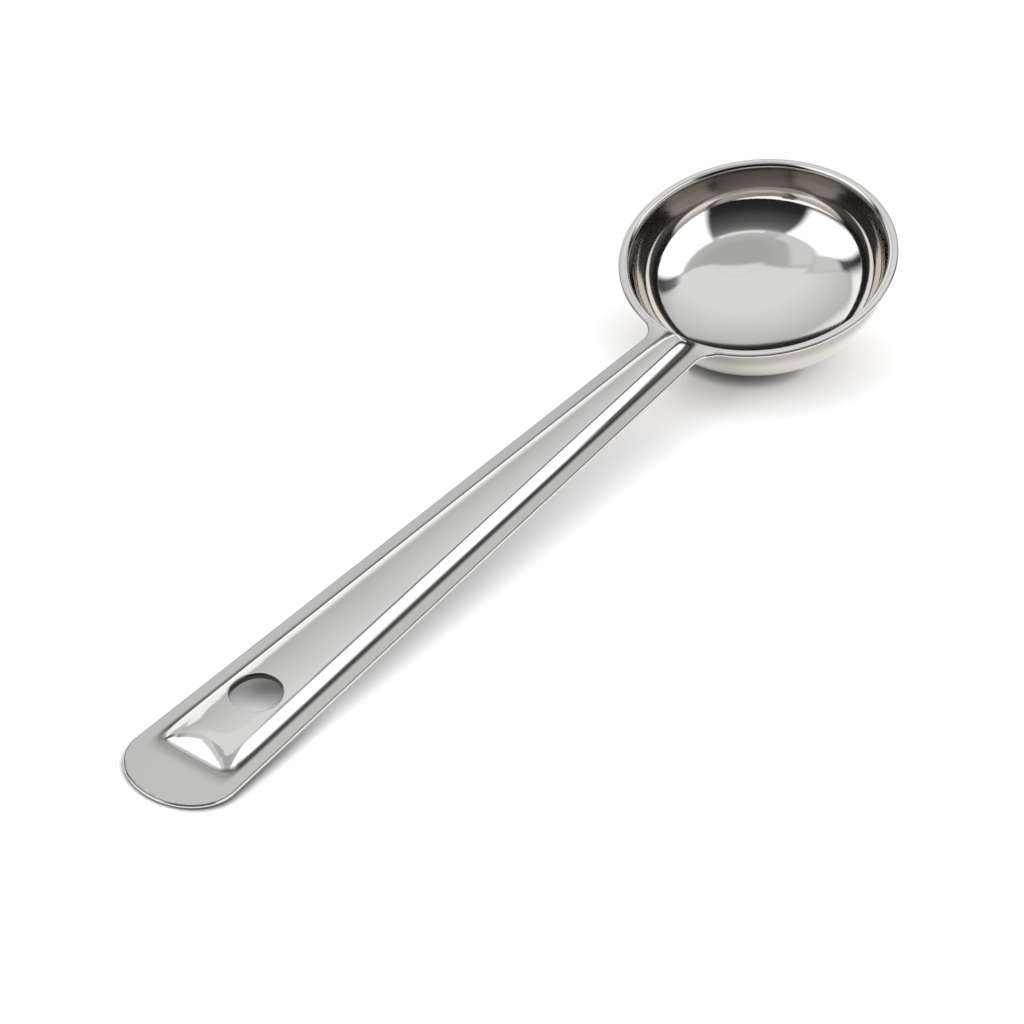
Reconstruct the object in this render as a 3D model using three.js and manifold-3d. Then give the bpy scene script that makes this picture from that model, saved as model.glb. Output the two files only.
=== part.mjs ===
// A pressed steel ladle, lying as it does on a table: on the bottom of its bowl and on the tip of its handle.
// The bowl and the handle are sheet pressings. A tongue of the bowl laps under the handle, set down so that
// handle and brim are flush on top, and four plug welds from beneath hold the lap together.
// Millimetres and degrees, +Z up. The handle points along -X.

import * as THREE from 'three';
import { mergeVertices } from 'three/addons/utils/BufferGeometryUtils.js';
import Module from 'manifold-3d';

const wasm = await Module();
wasm.setup();

// Sheet and fits
const SHEET = 1.2;
const SEAT_GAP = 0.3;

// Bowl. The round of its side and the wall above it grow with its depth.
const BRIM_RADIUS = 42;
const BRIM_WIDTH = 1.6;
const BOWL_DEPTH = 26.7;
const SIDE_SHARE = 0.757;
const WALL_SHARE = 0.13;
const WALL_LEAN = 6.5;
const FOLD_RADIUS = 0.6;

// Handle outline, its length taken along the sheet from the brim
const HANDLE_LENGTH = 231.5;
const NECK_WIDTH = 18.4;
const TIP_WIDTH = 33.6;
const TIP_ROUND = 13.5;
const NECK_FILLET = 7;

// Upward bend of the handle just outside the brim
const KICK_ANGLE = 10.5;
const BEND_INSET = 2;
const BEND_LENGTH = 5;

// Raised rib of the handle
const FLANGE_WIDTH = 4.1;
const RIB_HEIGHT = 3.5;
const CREASE_RADIUS = 0.8;
const SHOULDER_RADIUS = 2.2;
const FLANK_ANGLE = 58;
const CROWN_ANGLE = 6;
const NOSE_LEDGE = 0.7;
const NOSE_RUN = 3.2;
const NOSE_CORNER = 2.5;
const TAIL_SETBACK = 0.8;
const TAIL_BOW = 1.4;
const TAIL_RUN = 5.8;
const TAIL_CORNER = 6;

// Hang hole in the crown
const HOLE_DIAMETER = 14;
const HOLE_FROM_TIP = 42.1;

// Tongue of the bowl and its welds
const TONGUE_LENGTH = 22;
const TONGUE_INSET = 0.5;
const TONGUE_CORNER = 3;
const WELD_DIAMETER = 1.8;
const WELD_HEAD_DIAMETER = 3;
const WELD_HEAD_HEIGHT = 0.6;
const WELD_ROWS = 2;
const WELD_MARGIN = 5;

// Lengths over which the lines across the handle change from round to straight and from straight to bowed
const ROUND_LENGTH = 28;
const BOW_LENGTH = 24;

// Facets
const BOWL_SEGMENTS = 64;
const BOTTOM_STEPS = 6;
const SIDE_STEPS = 12;
const FOLD_STEPS = 3;
const HOLE_SEGMENTS = 32;
const WELD_SEGMENTS = 12;
const TONGUE_STEPS = 12;
const TONGUE_COLUMNS = 8;
const FILLET_STEPS = 6;
const BLEND_STEPS = 4;
const TAPER_STEPS = 8;
const ROUND_SHARES = [0, 1 / 3, 2 / 3, 1];
const FLANGE_SHARES = [1, 0.85, 0.65, 0.35];
const CROWN_SHARES = [0.85, 0.65, 0.35, 0];
const TIP_SHARES = [0.35, 0.7, 1];
const CORNER_REACH = 1.3;

const rad = THREE.MathUtils.degToRad;

const STEEL = new THREE.MeshStandardMaterial({ color: 0xcfcdca, roughness: 0.1, metalness: 1 });
const WELD_STEEL = new THREE.MeshStandardMaterial({ color: 0xb9b6b1, roughness: 0.38, metalness: 1 });

// Triangles of a geometry with shared vertices merged and empty triangles left out
function toManifold(geometry) {
  const bare = geometry.clone();
  bare.deleteAttribute('normal');
  bare.deleteAttribute('uv');
  const merged = mergeVertices(bare, 1e-4);
  const index = merged.index.array;
  const kept = [];
  for (let i = 0; i < index.length; i += 3) {
    const [a, b, c] = [index[i], index[i + 1], index[i + 2]];
    if (a !== b && b !== c && c !== a) kept.push(a, b, c);
  }
  const vertProperties = new Float32Array(merged.attributes.position.array);
  return new wasm.Manifold(new wasm.Mesh({ numProp: 3, vertProperties, triVerts: new Uint32Array(kept) }));
}

function toGeometry(manifold) {
  const { vertProperties, triVerts } = manifold.getMesh();
  const geometry = new THREE.BufferGeometry();
  geometry.setAttribute('position', new THREE.BufferAttribute(new Float32Array(vertProperties), 3));
  geometry.setIndex(new THREE.BufferAttribute(new Uint32Array(triVerts), 1));
  geometry.computeVertexNormals();
  return geometry;
}

function named(name, geometry, material) {
  const mesh = new THREE.Mesh(geometry, material);
  mesh.name = name;
  return mesh;
}

// Profile of the bowl: the fold of the brim, a leaning wall, the round of the side and the wide round of the bottom
const foldReach = BRIM_RADIUS - BRIM_WIDTH;
const foldDrop = SHEET + FOLD_RADIUS;
const wallLean = rad(WALL_LEAN);
const wallLength = WALL_SHARE * BOWL_DEPTH;
const sideRadius = SIDE_SHARE * BOWL_DEPTH;
const foldToSide = FOLD_RADIUS + sideRadius;
const sideReach = foldReach - foldToSide * Math.cos(wallLean) - wallLength * Math.sin(wallLean);
const sideLift = foldToSide * Math.sin(wallLean) - wallLength * Math.cos(wallLean) - foldDrop;
const sideFloor = sideLift + BOWL_DEPTH;
const bottomRadius = (sideReach ** 2 + sideFloor ** 2 - sideRadius ** 2) / (2 * (sideFloor - sideRadius));
const bottomLift = bottomRadius - BOWL_DEPTH;
const meetAngle = Math.atan2(sideReach, bottomLift - sideLift);

// Flat outline of the handle. Its edge runs along the mouth, round the neck fillet and down a straight taper.
const handleReach = BRIM_RADIUS + HANDLE_LENGTH;
const seat = SHEET + SEAT_GAP;
const mouthRadius = foldReach - Math.sqrt(foldDrop ** 2 - (foldDrop - seat) ** 2);
const tipStart = handleReach - TIP_ROUND;
const taper = (TIP_WIDTH - NECK_WIDTH) / 2 / (tipStart - BRIM_RADIUS);
const along = new THREE.Vector2(1, taper).normalize();
const outward = new THREE.Vector2(-along.y, along.x);
const edgeOffset = outward.dot(new THREE.Vector2(BRIM_RADIUS, NECK_WIDTH / 2));

const filletAlong = Math.sqrt((BRIM_RADIUS + NECK_FILLET) ** 2 - (edgeOffset + NECK_FILLET) ** 2);
const filletCentre = outward.clone().multiplyScalar(edgeOffset + NECK_FILLET);
filletCentre.addScaledVector(along, filletAlong);
const filletEnd = filletCentre.clone().addScaledVector(outward, -NECK_FILLET);
const seamAngle = filletCentre.angle();

const flangeHalfWidth = (x) => NECK_WIDTH / 2 + taper * (x - BRIM_RADIUS);
const ribHalfWidth = (x) => flangeHalfWidth(x) - FLANGE_WIDTH;

// Point of the edge at a given distance from the bowl's axis
function edgeAt(reach) {
  if (reach <= BRIM_RADIUS) {
    return new THREE.Vector2(Math.cos(seamAngle), Math.sin(seamAngle)).multiplyScalar(reach);
  }
  if (reach < filletEnd.length()) {
    const span = filletCentre.length();
    const foot = (reach ** 2 - NECK_FILLET ** 2 + span ** 2) / (2 * span);
    const side = Math.sqrt(reach ** 2 - foot ** 2);
    const unit = filletCentre.clone().divideScalar(span);
    return new THREE.Vector2(unit.x * foot + unit.y * side, unit.y * foot - unit.x * side);
  }
  const far = Math.sqrt(reach ** 2 - edgeOffset ** 2);
  return outward.clone().multiplyScalar(edgeOffset).addScaledVector(along, far);
}

// Flank of the rib, with a round foot and a round shoulder: its height at a distance in from the foot
const flankAngle = rad(FLANK_ANGLE);
const crownAngle = rad(CROWN_ANGLE);
const footRun = CREASE_RADIUS * Math.sin(flankAngle);
const footRise = CREASE_RADIUS * (1 - Math.cos(flankAngle));
const shoulderRise = SHOULDER_RADIUS * (Math.cos(crownAngle) - Math.cos(flankAngle));
const straightRun = (RIB_HEIGHT - footRise - shoulderRise) / Math.tan(flankAngle);
const shoulderInner = SHOULDER_RADIUS * Math.sin(crownAngle);
const flankRun = footRun + straightRun + SHOULDER_RADIUS * Math.sin(flankAngle) - shoulderInner;

function flankHeight(d) {
  if (d <= 0) return 0;
  if (d >= flankRun) return RIB_HEIGHT;
  if (d < footRun) return CREASE_RADIUS - Math.sqrt(CREASE_RADIUS ** 2 - d ** 2);
  if (d < footRun + straightRun) return footRise + (d - footRun) * Math.tan(flankAngle);
  const shoulderBase = RIB_HEIGHT - SHOULDER_RADIUS * Math.cos(crownAngle);
  return shoulderBase + Math.sqrt(SHOULDER_RADIUS ** 2 - (shoulderInner + flankRun - d) ** 2);
}

// Distances in from the foot that draw the flank's round parts
function flankSteps() {
  const steps = [0, CREASE_RADIUS * Math.sin(flankAngle / 2), footRun];
  for (const share of ROUND_SHARES) {
    const turn = THREE.MathUtils.lerp(flankAngle, crownAngle, share);
    steps.push(flankRun + shoulderInner - SHOULDER_RADIUS * Math.sin(turn));
  }
  return steps;
}

// Lesser of two distances, with a round corner where both are small
function roundedLesser(a, b, radius) {
  if (a >= radius || b >= radius) return Math.min(a, b);
  return radius - Math.hypot(radius - a, radius - b);
}

const noseFoot = mouthRadius + NOSE_LEDGE;
const tailFoot = tipStart - TAIL_SETBACK;

// Height of the rib above the flange: flanks at the sides, a steep nose, a longer tail and a slight crown
function ribHeight(x, y) {
  const half = ribHalfWidth(x);
  const bow = TAIL_BOW * (1 - (y / flangeHalfWidth(x)) ** 2);
  const fromSide = half - Math.abs(y);
  const fromNose = ((Math.hypot(x, y) - noseFoot) * flankRun) / NOSE_RUN;
  const fromTail = ((tailFoot - bow - x) * flankRun) / TAIL_RUN;
  const inside = roundedLesser(roundedLesser(fromSide, fromNose, NOSE_CORNER), fromTail, TAIL_CORNER);
  const height = flankHeight(inside);
  const crownHalf = half - flankRun;
  if (Math.abs(y) >= crownHalf) return height;
  const crownRadius = crownHalf / Math.sin(crownAngle);
  const crown = Math.sqrt(crownRadius ** 2 - y ** 2) - crownRadius * Math.cos(crownAngle);
  return height + (crown * height) / RIB_HEIGHT;
}

// Where a point of the flat sheet goes once the handle is bent up
function bend(x, y, z) {
  const start = BRIM_RADIUS - BEND_INSET;
  const radius = BEND_LENGTH / rad(KICK_ANGLE);
  const turn = THREE.MathUtils.clamp((x - start) / radius, 0, rad(KICK_ANGLE));
  const rest = Math.max(0, x - start - BEND_LENGTH);
  const reach = Math.min(x, start) + (radius - z) * Math.sin(turn) + rest * Math.cos(turn);
  const lift = radius - (radius - z) * Math.cos(turn) + rest * Math.sin(turn);
  return new THREE.Vector3(-reach, y, lift);
}

// Closed sheet between two layers of points, each a list of rows across the handle
function sheetGeometry(top, bottom) {
  const rows = top.length;
  const columns = top[0].length;
  const layer = rows * columns;
  const positions = [];
  for (const point of [...top.flat(), ...bottom.flat()]) positions.push(point.x, point.y, point.z);
  const index = [];
  const quad = (a, b, c, d) => index.push(a, c, b, a, d, c);
  const at = (i, j) => i * columns + j;
  for (let i = 0; i < rows - 1; i += 1) {
    for (let j = 0; j < columns - 1; j += 1) {
      quad(at(i, j), at(i, j + 1), at(i + 1, j + 1), at(i + 1, j));
      quad(layer + at(i, j), layer + at(i + 1, j), layer + at(i + 1, j + 1), layer + at(i, j + 1));
    }
    const last = columns - 1;
    quad(at(i, 0), at(i + 1, 0), layer + at(i + 1, 0), layer + at(i, 0));
    quad(at(i + 1, last), at(i, last), layer + at(i, last), layer + at(i + 1, last));
  }
  for (let j = 0; j < columns - 1; j += 1) {
    quad(at(0, j + 1), at(0, j), layer + at(0, j), layer + at(0, j + 1));
    quad(at(rows - 1, j), at(rows - 1, j + 1), layer + at(rows - 1, j + 1), layer + at(rows - 1, j));
  }
  const geometry = new THREE.BufferGeometry();
  geometry.setAttribute('position', new THREE.Float32BufferAttribute(positions, 3));
  geometry.setIndex(index);
  return geometry;
}

// Lines across the handle, each a function from the place across to the place along.
// They are arcs round the bowl's axis by the mouth, straight along the taper, bowed at the rib's tail
// and round at the tip.
function mouthLine(reach, roundness) {
  const edge = edgeAt(reach);
  const line = (y) => edge.x + roundness * (Math.sqrt(Math.max(0, reach ** 2 - y ** 2)) - edge.x);
  return { half: edge.y, base: edge.x, line };
}

function taperLine(x, bow) {
  const half = flangeHalfWidth(x);
  return { half, base: x, line: (y) => x - bow * (1 - (y / half) ** 2) };
}

function tipLine(share) {
  const half = THREE.MathUtils.lerp(flangeHalfWidth(tailFoot), TIP_WIDTH / 2, share);
  const line = (y) => {
    const level = y / half;
    const from = tailFoot - TAIL_BOW * (1 - level ** 2);
    const to = tipStart + TIP_ROUND * Math.sqrt(Math.max(0, 1 - level ** 2));
    return THREE.MathUtils.lerp(from, to, share);
  };
  return { half, base: tailFoot, line };
}

function mouthLines() {
  const noseTop = noseFoot + NOSE_RUN;
  const filletReach = filletEnd.length();
  const reaches = [mouthRadius];
  for (const step of flankSteps()) reaches.push(noseFoot + (step * NOSE_RUN) / flankRun);
  for (let i = 1; i <= FILLET_STEPS; i += 1) {
    reaches.push(THREE.MathUtils.lerp(noseTop, filletReach, i / FILLET_STEPS));
  }
  const lines = reaches.map((reach) => mouthLine(reach, 1));
  for (let i = 1; i <= BLEND_STEPS; i += 1) {
    const share = i / BLEND_STEPS;
    lines.push(mouthLine(filletReach + ROUND_LENGTH * share, 1 - share));
  }
  return lines;
}

function taperLines(from) {
  const tailTop = tailFoot - TAIL_RUN;
  const cornerTop = tailFoot - Math.max(CORNER_REACH, TAIL_CORNER / flankRun) * TAIL_RUN;
  const bowAt = (x) => TAIL_BOW * THREE.MathUtils.smoothstep(x, tailTop - BOW_LENGTH, tailTop);
  const lines = [];
  for (let i = 1; i <= TAPER_STEPS; i += 1) {
    const x = THREE.MathUtils.lerp(from, cornerTop, i / TAPER_STEPS);
    lines.push(taperLine(x, bowAt(x)));
  }
  const between = (cornerTop + tailTop) / 2;
  lines.push(taperLine(between, bowAt(between)));
  for (const step of flankSteps().reverse()) {
    lines.push(taperLine(tailFoot - (step * TAIL_RUN) / flankRun, TAIL_BOW));
  }
  return lines;
}

// Places across one line, from the left edge to the right: flange, flank, crown and back
function placesAcross({ half, base }) {
  const rib = Math.min(ribHalfWidth(Math.min(base, tailFoot)), half);
  const crown = rib - flankRun;
  const places = [];
  for (const share of FLANGE_SHARES) places.push(THREE.MathUtils.lerp(rib, half, share));
  for (const step of flankSteps()) places.push(rib - step);
  for (const share of CROWN_SHARES) places.push(crown * share);
  const mirrored = places.slice(0, -1).reverse().map((y) => -y);
  return [...places, ...mirrored];
}

function handleSheet() {
  const lines = mouthLines();
  lines.push(...taperLines(lines.at(-1).base));
  for (const share of TIP_SHARES) lines.push(tipLine(share));
  const top = [];
  const bottom = [];
  const h = 1e-3;
  for (const line of lines) {
    const upper = [];
    const lower = [];
    for (const y of placesAcross(line)) {
      const x = line.line(y);
      const z = ribHeight(x, y);
      const slopeX = (ribHeight(x + h, y) - ribHeight(x - h, y)) / (2 * h);
      const slopeY = (ribHeight(x, y + h) - ribHeight(x, y - h)) / (2 * h);
      const normal = new THREE.Vector3(-slopeX, -slopeY, 1).setLength(SHEET);
      upper.push(bend(x, y, z));
      lower.push(bend(x - normal.x, y - normal.y, z - normal.z));
    }
    top.push(upper);
    bottom.push(lower);
  }
  return sheetGeometry(top, bottom);
}

// Upright round bar in the flat sheet, carried to its place on the bent one
function barInSheet(x, y, z, diameter, length, segments) {
  const bar = new THREE.CylinderGeometry(diameter / 2, diameter / 2, length, segments);
  bar.rotateX(Math.PI / 2);
  const place = bend(x, y, z);
  const upright = bend(x, y, z + 1).sub(place);
  const turn = new THREE.Quaternion().setFromUnitVectors(new THREE.Vector3(0, 0, 1), upright.normalize());
  bar.applyQuaternion(turn);
  bar.translate(place.x, place.y, place.z);
  return bar;
}

function handle() {
  const clear = 4 * RIB_HEIGHT;
  const hole = barInSheet(handleReach - HOLE_FROM_TIP, 0, 0, HOLE_DIAMETER, clear, HOLE_SEGMENTS);
  const sheet = toManifold(handleSheet()).subtract(toManifold(hole));
  return named('handle', toGeometry(sheet), STEEL);
}

// One side of the bowl's sheet from the bottom to the brim, a given distance in from the outside
function bowlLine(inset) {
  const points = [];
  const arc = (reach, lift, radius, from, to, steps) => {
    for (let i = 0; i <= steps; i += 1) {
      const turn = THREE.MathUtils.lerp(from, to, i / steps);
      points.push(new THREE.Vector2(reach + radius * Math.sin(turn), lift - radius * Math.cos(turn)));
    }
  };
  arc(0, bottomLift, bottomRadius - inset, 0, meetAngle, BOTTOM_STEPS);
  points.pop();
  arc(sideReach, sideLift, sideRadius - inset, meetAngle, Math.PI / 2 - wallLean, SIDE_STEPS);
  arc(foldReach, -foldDrop, -FOLD_RADIUS - inset, Math.PI / 2 - wallLean, 0, FOLD_STEPS);
  return points;
}

// Bowl without its tongue: the sheet turned round its axis
function bowlShell() {
  const edge = [new THREE.Vector2(BRIM_RADIUS, -SHEET), new THREE.Vector2(BRIM_RADIUS, 0)];
  const shell = new THREE.LatheGeometry([...bowlLine(0), ...edge, ...bowlLine(SHEET).reverse()], BOWL_SEGMENTS);
  shell.rotateX(Math.PI / 2);
  return shell;
}

// Room cut out of the brim for the end of the handle
function handleSeat() {
  const open = seamAngle + SEAT_GAP / BRIM_RADIUS;
  const inner = mouthRadius - SHEET;
  const outer = BRIM_RADIUS + SHEET;
  const shape = new THREE.Shape();
  shape.absarc(0, 0, outer, Math.PI - open, Math.PI + open, false);
  shape.absarc(0, 0, inner, Math.PI + open, Math.PI - open, true);
  const room = new THREE.ExtrudeGeometry(shape, { depth: 2 * seat, bevelEnabled: false, curveSegments: 16 });
  room.translate(0, 0, -seat);
  return room;
}

// Tongue under the handle, from the middle of the bowl's wall outward, with round corners at its end
const tongueReach = BRIM_RADIUS + TONGUE_LENGTH;

function tongueTrim(reach) {
  const past = Math.max(0, reach - tongueReach + TONGUE_CORNER);
  return TONGUE_INSET + TONGUE_CORNER - Math.sqrt(TONGUE_CORNER ** 2 - past ** 2);
}

function tongue() {
  const root = mouthRadius + SHEET / 2;
  const reaches = [];
  for (let i = 0; i < TONGUE_STEPS; i += 1) {
    reaches.push(THREE.MathUtils.lerp(root, tongueReach - TONGUE_CORNER, i / TONGUE_STEPS));
  }
  for (const share of ROUND_SHARES) {
    reaches.push(tongueReach - TONGUE_CORNER * (1 - Math.sin((share * Math.PI) / 2)));
  }
  const top = [];
  const bottom = [];
  for (const reach of reaches) {
    const { half, line } = mouthLine(reach, (tongueReach - reach) / (tongueReach - root));
    const places = [];
    for (let j = 0; j <= TONGUE_COLUMNS; j += 1) {
      places.push((half - tongueTrim(reach)) * (1 - (2 * j) / TONGUE_COLUMNS));
    }
    top.push(places.map((y) => bend(line(y), y, -seat)));
    bottom.push(places.map((y) => bend(line(y), y, -seat - SHEET)));
  }
  return sheetGeometry(top, bottom);
}

// Places of the welds, in the middle of the flange on both sides of the rib
function weldPlaces() {
  const places = [];
  const first = BRIM_RADIUS + WELD_MARGIN;
  const last = tongueReach - WELD_MARGIN;
  for (const hand of [1, -1]) {
    for (let i = 0; i < WELD_ROWS; i += 1) {
      const x = THREE.MathUtils.lerp(first, last, i / (WELD_ROWS - 1));
      places.push({ x, y: hand * (flangeHalfWidth(x) - (FLANGE_WIDTH + TONGUE_INSET) / 2) });
    }
  }
  return places;
}

function bowl() {
  let shell = toManifold(bowlShell()).subtract(toManifold(handleSeat())).add(toManifold(tongue()));
  for (const { x, y } of weldPlaces()) {
    const hole = barInSheet(x, y, -seat, WELD_DIAMETER + 2 * SEAT_GAP, 4 * SHEET, WELD_SEGMENTS);
    shell = shell.subtract(toManifold(hole));
  }
  return named('bowl', toGeometry(shell), STEEL);
}

// Plug weld: a shank through the tongue with a low dome beneath it
function plugWeld(name, { x, y }) {
  const shank = WELD_DIAMETER / 2;
  const head = WELD_HEAD_DIAMETER / 2;
  const dome = (head ** 2 + WELD_HEAD_HEIGHT ** 2) / (2 * WELD_HEAD_HEIGHT);
  const domeTurn = Math.asin(Math.min(1, head / dome));
  const headTop = -SHEET - SEAT_GAP;
  const points = [];
  for (const share of ROUND_SHARES) {
    const turn = domeTurn * share;
    const drop = headTop - WELD_HEAD_HEIGHT + dome * (1 - Math.cos(turn));
    points.push(new THREE.Vector2(dome * Math.sin(turn), drop));
  }
  points.push(new THREE.Vector2(shank, headTop), new THREE.Vector2(shank, 0), new THREE.Vector2(0, 0));
  const weld = new THREE.LatheGeometry(points, WELD_SEGMENTS);
  weld.rotateX(Math.PI / 2);
  const place = bend(x, y, -seat);
  const upright = bend(x, y, 1 - seat).sub(place).normalize();
  const mesh = named(name, toGeometry(toManifold(weld)), WELD_STEEL);
  mesh.quaternion.setFromUnitVectors(new THREE.Vector3(0, 0, 1), upright);
  mesh.position.copy(place);
  return mesh;
}

// Lean at which a round of the bowl and the tip of the handle stand on one plane
function leanOn(reach, lift, radius) {
  const tip = bend(handleReach, 0, -SHEET);
  const span = new THREE.Vector2(reach - tip.x, lift - tip.z);
  return Math.asin(radius / span.length()) - Math.atan2(span.y, span.x);
}

// The ladle lies on the round of the bottom, or on that of the side where it leans further than the bottom reaches
function restTilt() {
  const onBottom = leanOn(0, bottomLift, bottomRadius);
  return onBottom <= meetAngle ? onBottom : leanOn(-sideReach, sideLift, sideRadius);
}

const pressing = new THREE.Group();
pressing.add(bowl(), handle());
weldPlaces().forEach((place, i) => pressing.add(plugWeld(`plug_weld_${i + 1}`, place)));
pressing.rotation.y = -restTilt();

// Origin below the middle of the ladle, on the plane it lies on
const box = new THREE.Box3().setFromObject(pressing, true);
pressing.position.set(-(box.min.x + box.max.x) / 2, 0, -box.min.z);

const ladle = new THREE.Group();
ladle.add(pressing);

export default ladle;
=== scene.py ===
"""A pressed and mirror-polished steel ladle on a white table.

The bowl, the handle and the four plug welds are drawn as smooth sheets in the places of the frame's solids.
Sizes are millimetres and angles degrees. A sheet is worked out flat, x along the handle from the bowl's axis,
then bent up, laid down on the table and turned into metres.
"""

import logging
import math
from dataclasses import dataclass
from enum import Enum
from typing import Callable

import bmesh
import bpy
import numpy as np
from mathutils import Matrix


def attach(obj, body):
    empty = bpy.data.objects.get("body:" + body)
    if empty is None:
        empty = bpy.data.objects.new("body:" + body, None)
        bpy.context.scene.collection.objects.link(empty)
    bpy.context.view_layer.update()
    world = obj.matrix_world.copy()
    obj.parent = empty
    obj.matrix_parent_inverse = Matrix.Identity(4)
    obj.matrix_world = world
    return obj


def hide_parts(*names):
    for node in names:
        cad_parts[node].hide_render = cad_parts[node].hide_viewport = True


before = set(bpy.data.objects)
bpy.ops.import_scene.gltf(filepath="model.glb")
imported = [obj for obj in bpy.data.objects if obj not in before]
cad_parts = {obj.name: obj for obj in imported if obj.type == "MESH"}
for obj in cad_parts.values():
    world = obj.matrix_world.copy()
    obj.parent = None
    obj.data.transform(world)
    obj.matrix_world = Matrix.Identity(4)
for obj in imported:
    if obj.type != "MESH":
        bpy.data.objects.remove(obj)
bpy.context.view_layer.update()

LOG = logging.getLogger("ladle")
MM = 0.001
BODY = "root"

# Points of a mesh that are nearer than this, in metres, are one point
MERGE_DISTANCE = 4e-7
# Edges that turn by more than this, in degrees, stay sharp
SHARP_ANGLE = 38.0
# Step, in millimetres, over which a slope is measured
SLOPE_STEP = 1e-3
# Least distance, in millimetres, that is raised to a power
LEAST_DISTANCE = 1e-3
# Decimals of a millimetre to which rows are compared
ROW_DECIMALS = 7
# Least length that a direction is divided by
LEAST_LENGTH = 1e-9
# Attribute of a mesh that says where shade is painted into the steel's colour
PAINTED_SHADE = "painted_shade"
# Values between which nearly all of a noise lies
NOISE_SPAN = (0.3, 0.7)
# Scale of a wave texture at which each of its lines is one unit wide
WAVE_SCALE = math.pi / 20
WHITE = (1.0, 1.0, 1.0, 1.0)
# A ray with fewer matt bounces than this has had none
HALF_BOUNCE = 0.5
# Elevation straight up
ZENITH = 90.0
# Width of the camera's sensor, in millimetres, and of the picture, in pixels
SENSOR_WIDTH = 36.0
PICTURE_WIDTH = 1024

Height = Callable[[np.ndarray, np.ndarray], np.ndarray]
Feed = float | bpy.types.NodeSocket
Colour = tuple[float, float, float, float] | bpy.types.NodeSocket


def linear_colour(hex_code: str) -> tuple[float, float, float, float]:
    """Turn an sRGB hex value into a linear colour.

    By the sRGB curve, a level is divided when it is low, and otherwise raised to a power.

    Args:
        hex_code: Six hex digits, such as "D4CFCA".

    Returns:
        Red, green, blue and alpha.
    """
    levels = np.array([int(hex_code[i : i + 2], 16) for i in (0, 2, 4)]) / 255.0
    linear = np.where(levels <= 0.04045, levels / 12.92, ((levels + 0.055) / 1.055) ** 2.4)
    return (float(linear[0]), float(linear[1]), float(linear[2]), 1.0)


def add_node(tree: bpy.types.NodeTree, kind: str, settings: dict, inputs: dict) -> bpy.types.Node:
    """Add a node with its settings, its values and the links into it.

    Args:
        tree: Node tree that gets the node.
        kind: Type name of the node.
        settings: Properties of the node.
        inputs: For an input's name or number, a value or the socket that feeds it.

    Returns:
        The new node.
    """
    node = tree.nodes.new(kind)
    for name, value in settings.items():
        setattr(node, name, value)
    for name, value in inputs.items():
        if isinstance(value, bpy.types.NodeSocket):
            tree.links.new(value, node.inputs[name])
        else:
            node.inputs[name].default_value = value
    return node


def add_math(tree: bpy.types.NodeTree, operation: str, *values: Feed) -> bpy.types.NodeSocket:
    """Add a math node.

    Args:
        tree: Node tree that gets the node.
        operation: Blender's name of the operation.
        values: Its inputs.

    Returns:
        The result.
    """
    return add_node(tree, "ShaderNodeMath", {"operation": operation}, dict(enumerate(values))).outputs[0]


def add_range(
    tree: bpy.types.NodeTree,
    value: bpy.types.NodeSocket,
    span: tuple[float, float],
    ends: tuple[float, float] = (0.0, 1.0),
    kind: str = "LINEAR",
) -> bpy.types.NodeSocket:
    """Add a node that turns one range of values into another.

    Args:
        tree: Node tree that gets the node.
        value: What comes in.
        span: First and last value that come in.
        ends: First and last value that come out.
        kind: Blender's name of the way between them.

    Returns:
        What comes out.
    """
    limits = {"From Min": span[0], "From Max": span[1], "To Min": ends[0], "To Max": ends[1]}
    node = add_node(tree, "ShaderNodeMapRange", {"interpolation_type": kind}, {"Value": value, **limits})
    return node.outputs["Result"]


def add_mix(
    tree: bpy.types.NodeTree, share: bpy.types.NodeSocket, first: Colour, second: Colour
) -> bpy.types.NodeSocket:
    """Add a node that mixes two colours.

    Args:
        tree: Node tree that gets the node.
        share: Share of the second colour.
        first: The first colour.
        second: The second colour.

    Returns:
        The mixed colour.
    """
    colours = {"Factor": share, "A": first, "B": second}
    return add_node(tree, "ShaderNodeMix", {"data_type": "RGBA"}, colours).outputs["Result"]


def add_bump(
    tree: bpy.types.NodeTree, height: bpy.types.NodeSocket, depth: float, under: dict
) -> bpy.types.NodeSocket:
    """Add a node that makes bumps.

    Args:
        tree: Node tree that gets the node.
        height: Height of the bumps, from 0 to 1.
        depth: Depth of a bump.
        under: The normal that they go on, or nothing.

    Returns:
        The normal.
    """
    inputs = {"Height": height, "Distance": depth * MM, "Strength": 1.0, **under}
    return add_node(tree, "ShaderNodeBump", {}, inputs).outputs["Normal"]


def new_material(name: str) -> bpy.types.Material:
    """Make a material that has no nodes yet.

    Args:
        name: Name of the material.

    Returns:
        The material.
    """
    material = bpy.data.materials.new(name)
    material.use_nodes = True
    material.node_tree.nodes.clear()
    return material


def add_metal(
    tree: bpy.types.NodeTree,
    tone: bpy.types.NodeSocket,
    gloss: bpy.types.NodeSocket,
    normal: bpy.types.NodeSocket,
) -> None:
    """Add the surface of a metal.

    Args:
        tree: Node tree of the material.
        tone: Its colour.
        gloss: Its roughness.
        normal: Its bumps.
    """
    inputs = {"Base Color": tone, "Metallic": 1.0, "Roughness": gloss, "Normal": normal}
    shader = add_node(tree, "ShaderNodeBsdfPrincipled", {}, inputs).outputs["BSDF"]
    add_node(tree, "ShaderNodeOutputMaterial", {}, {"Surface": shader})


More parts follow.
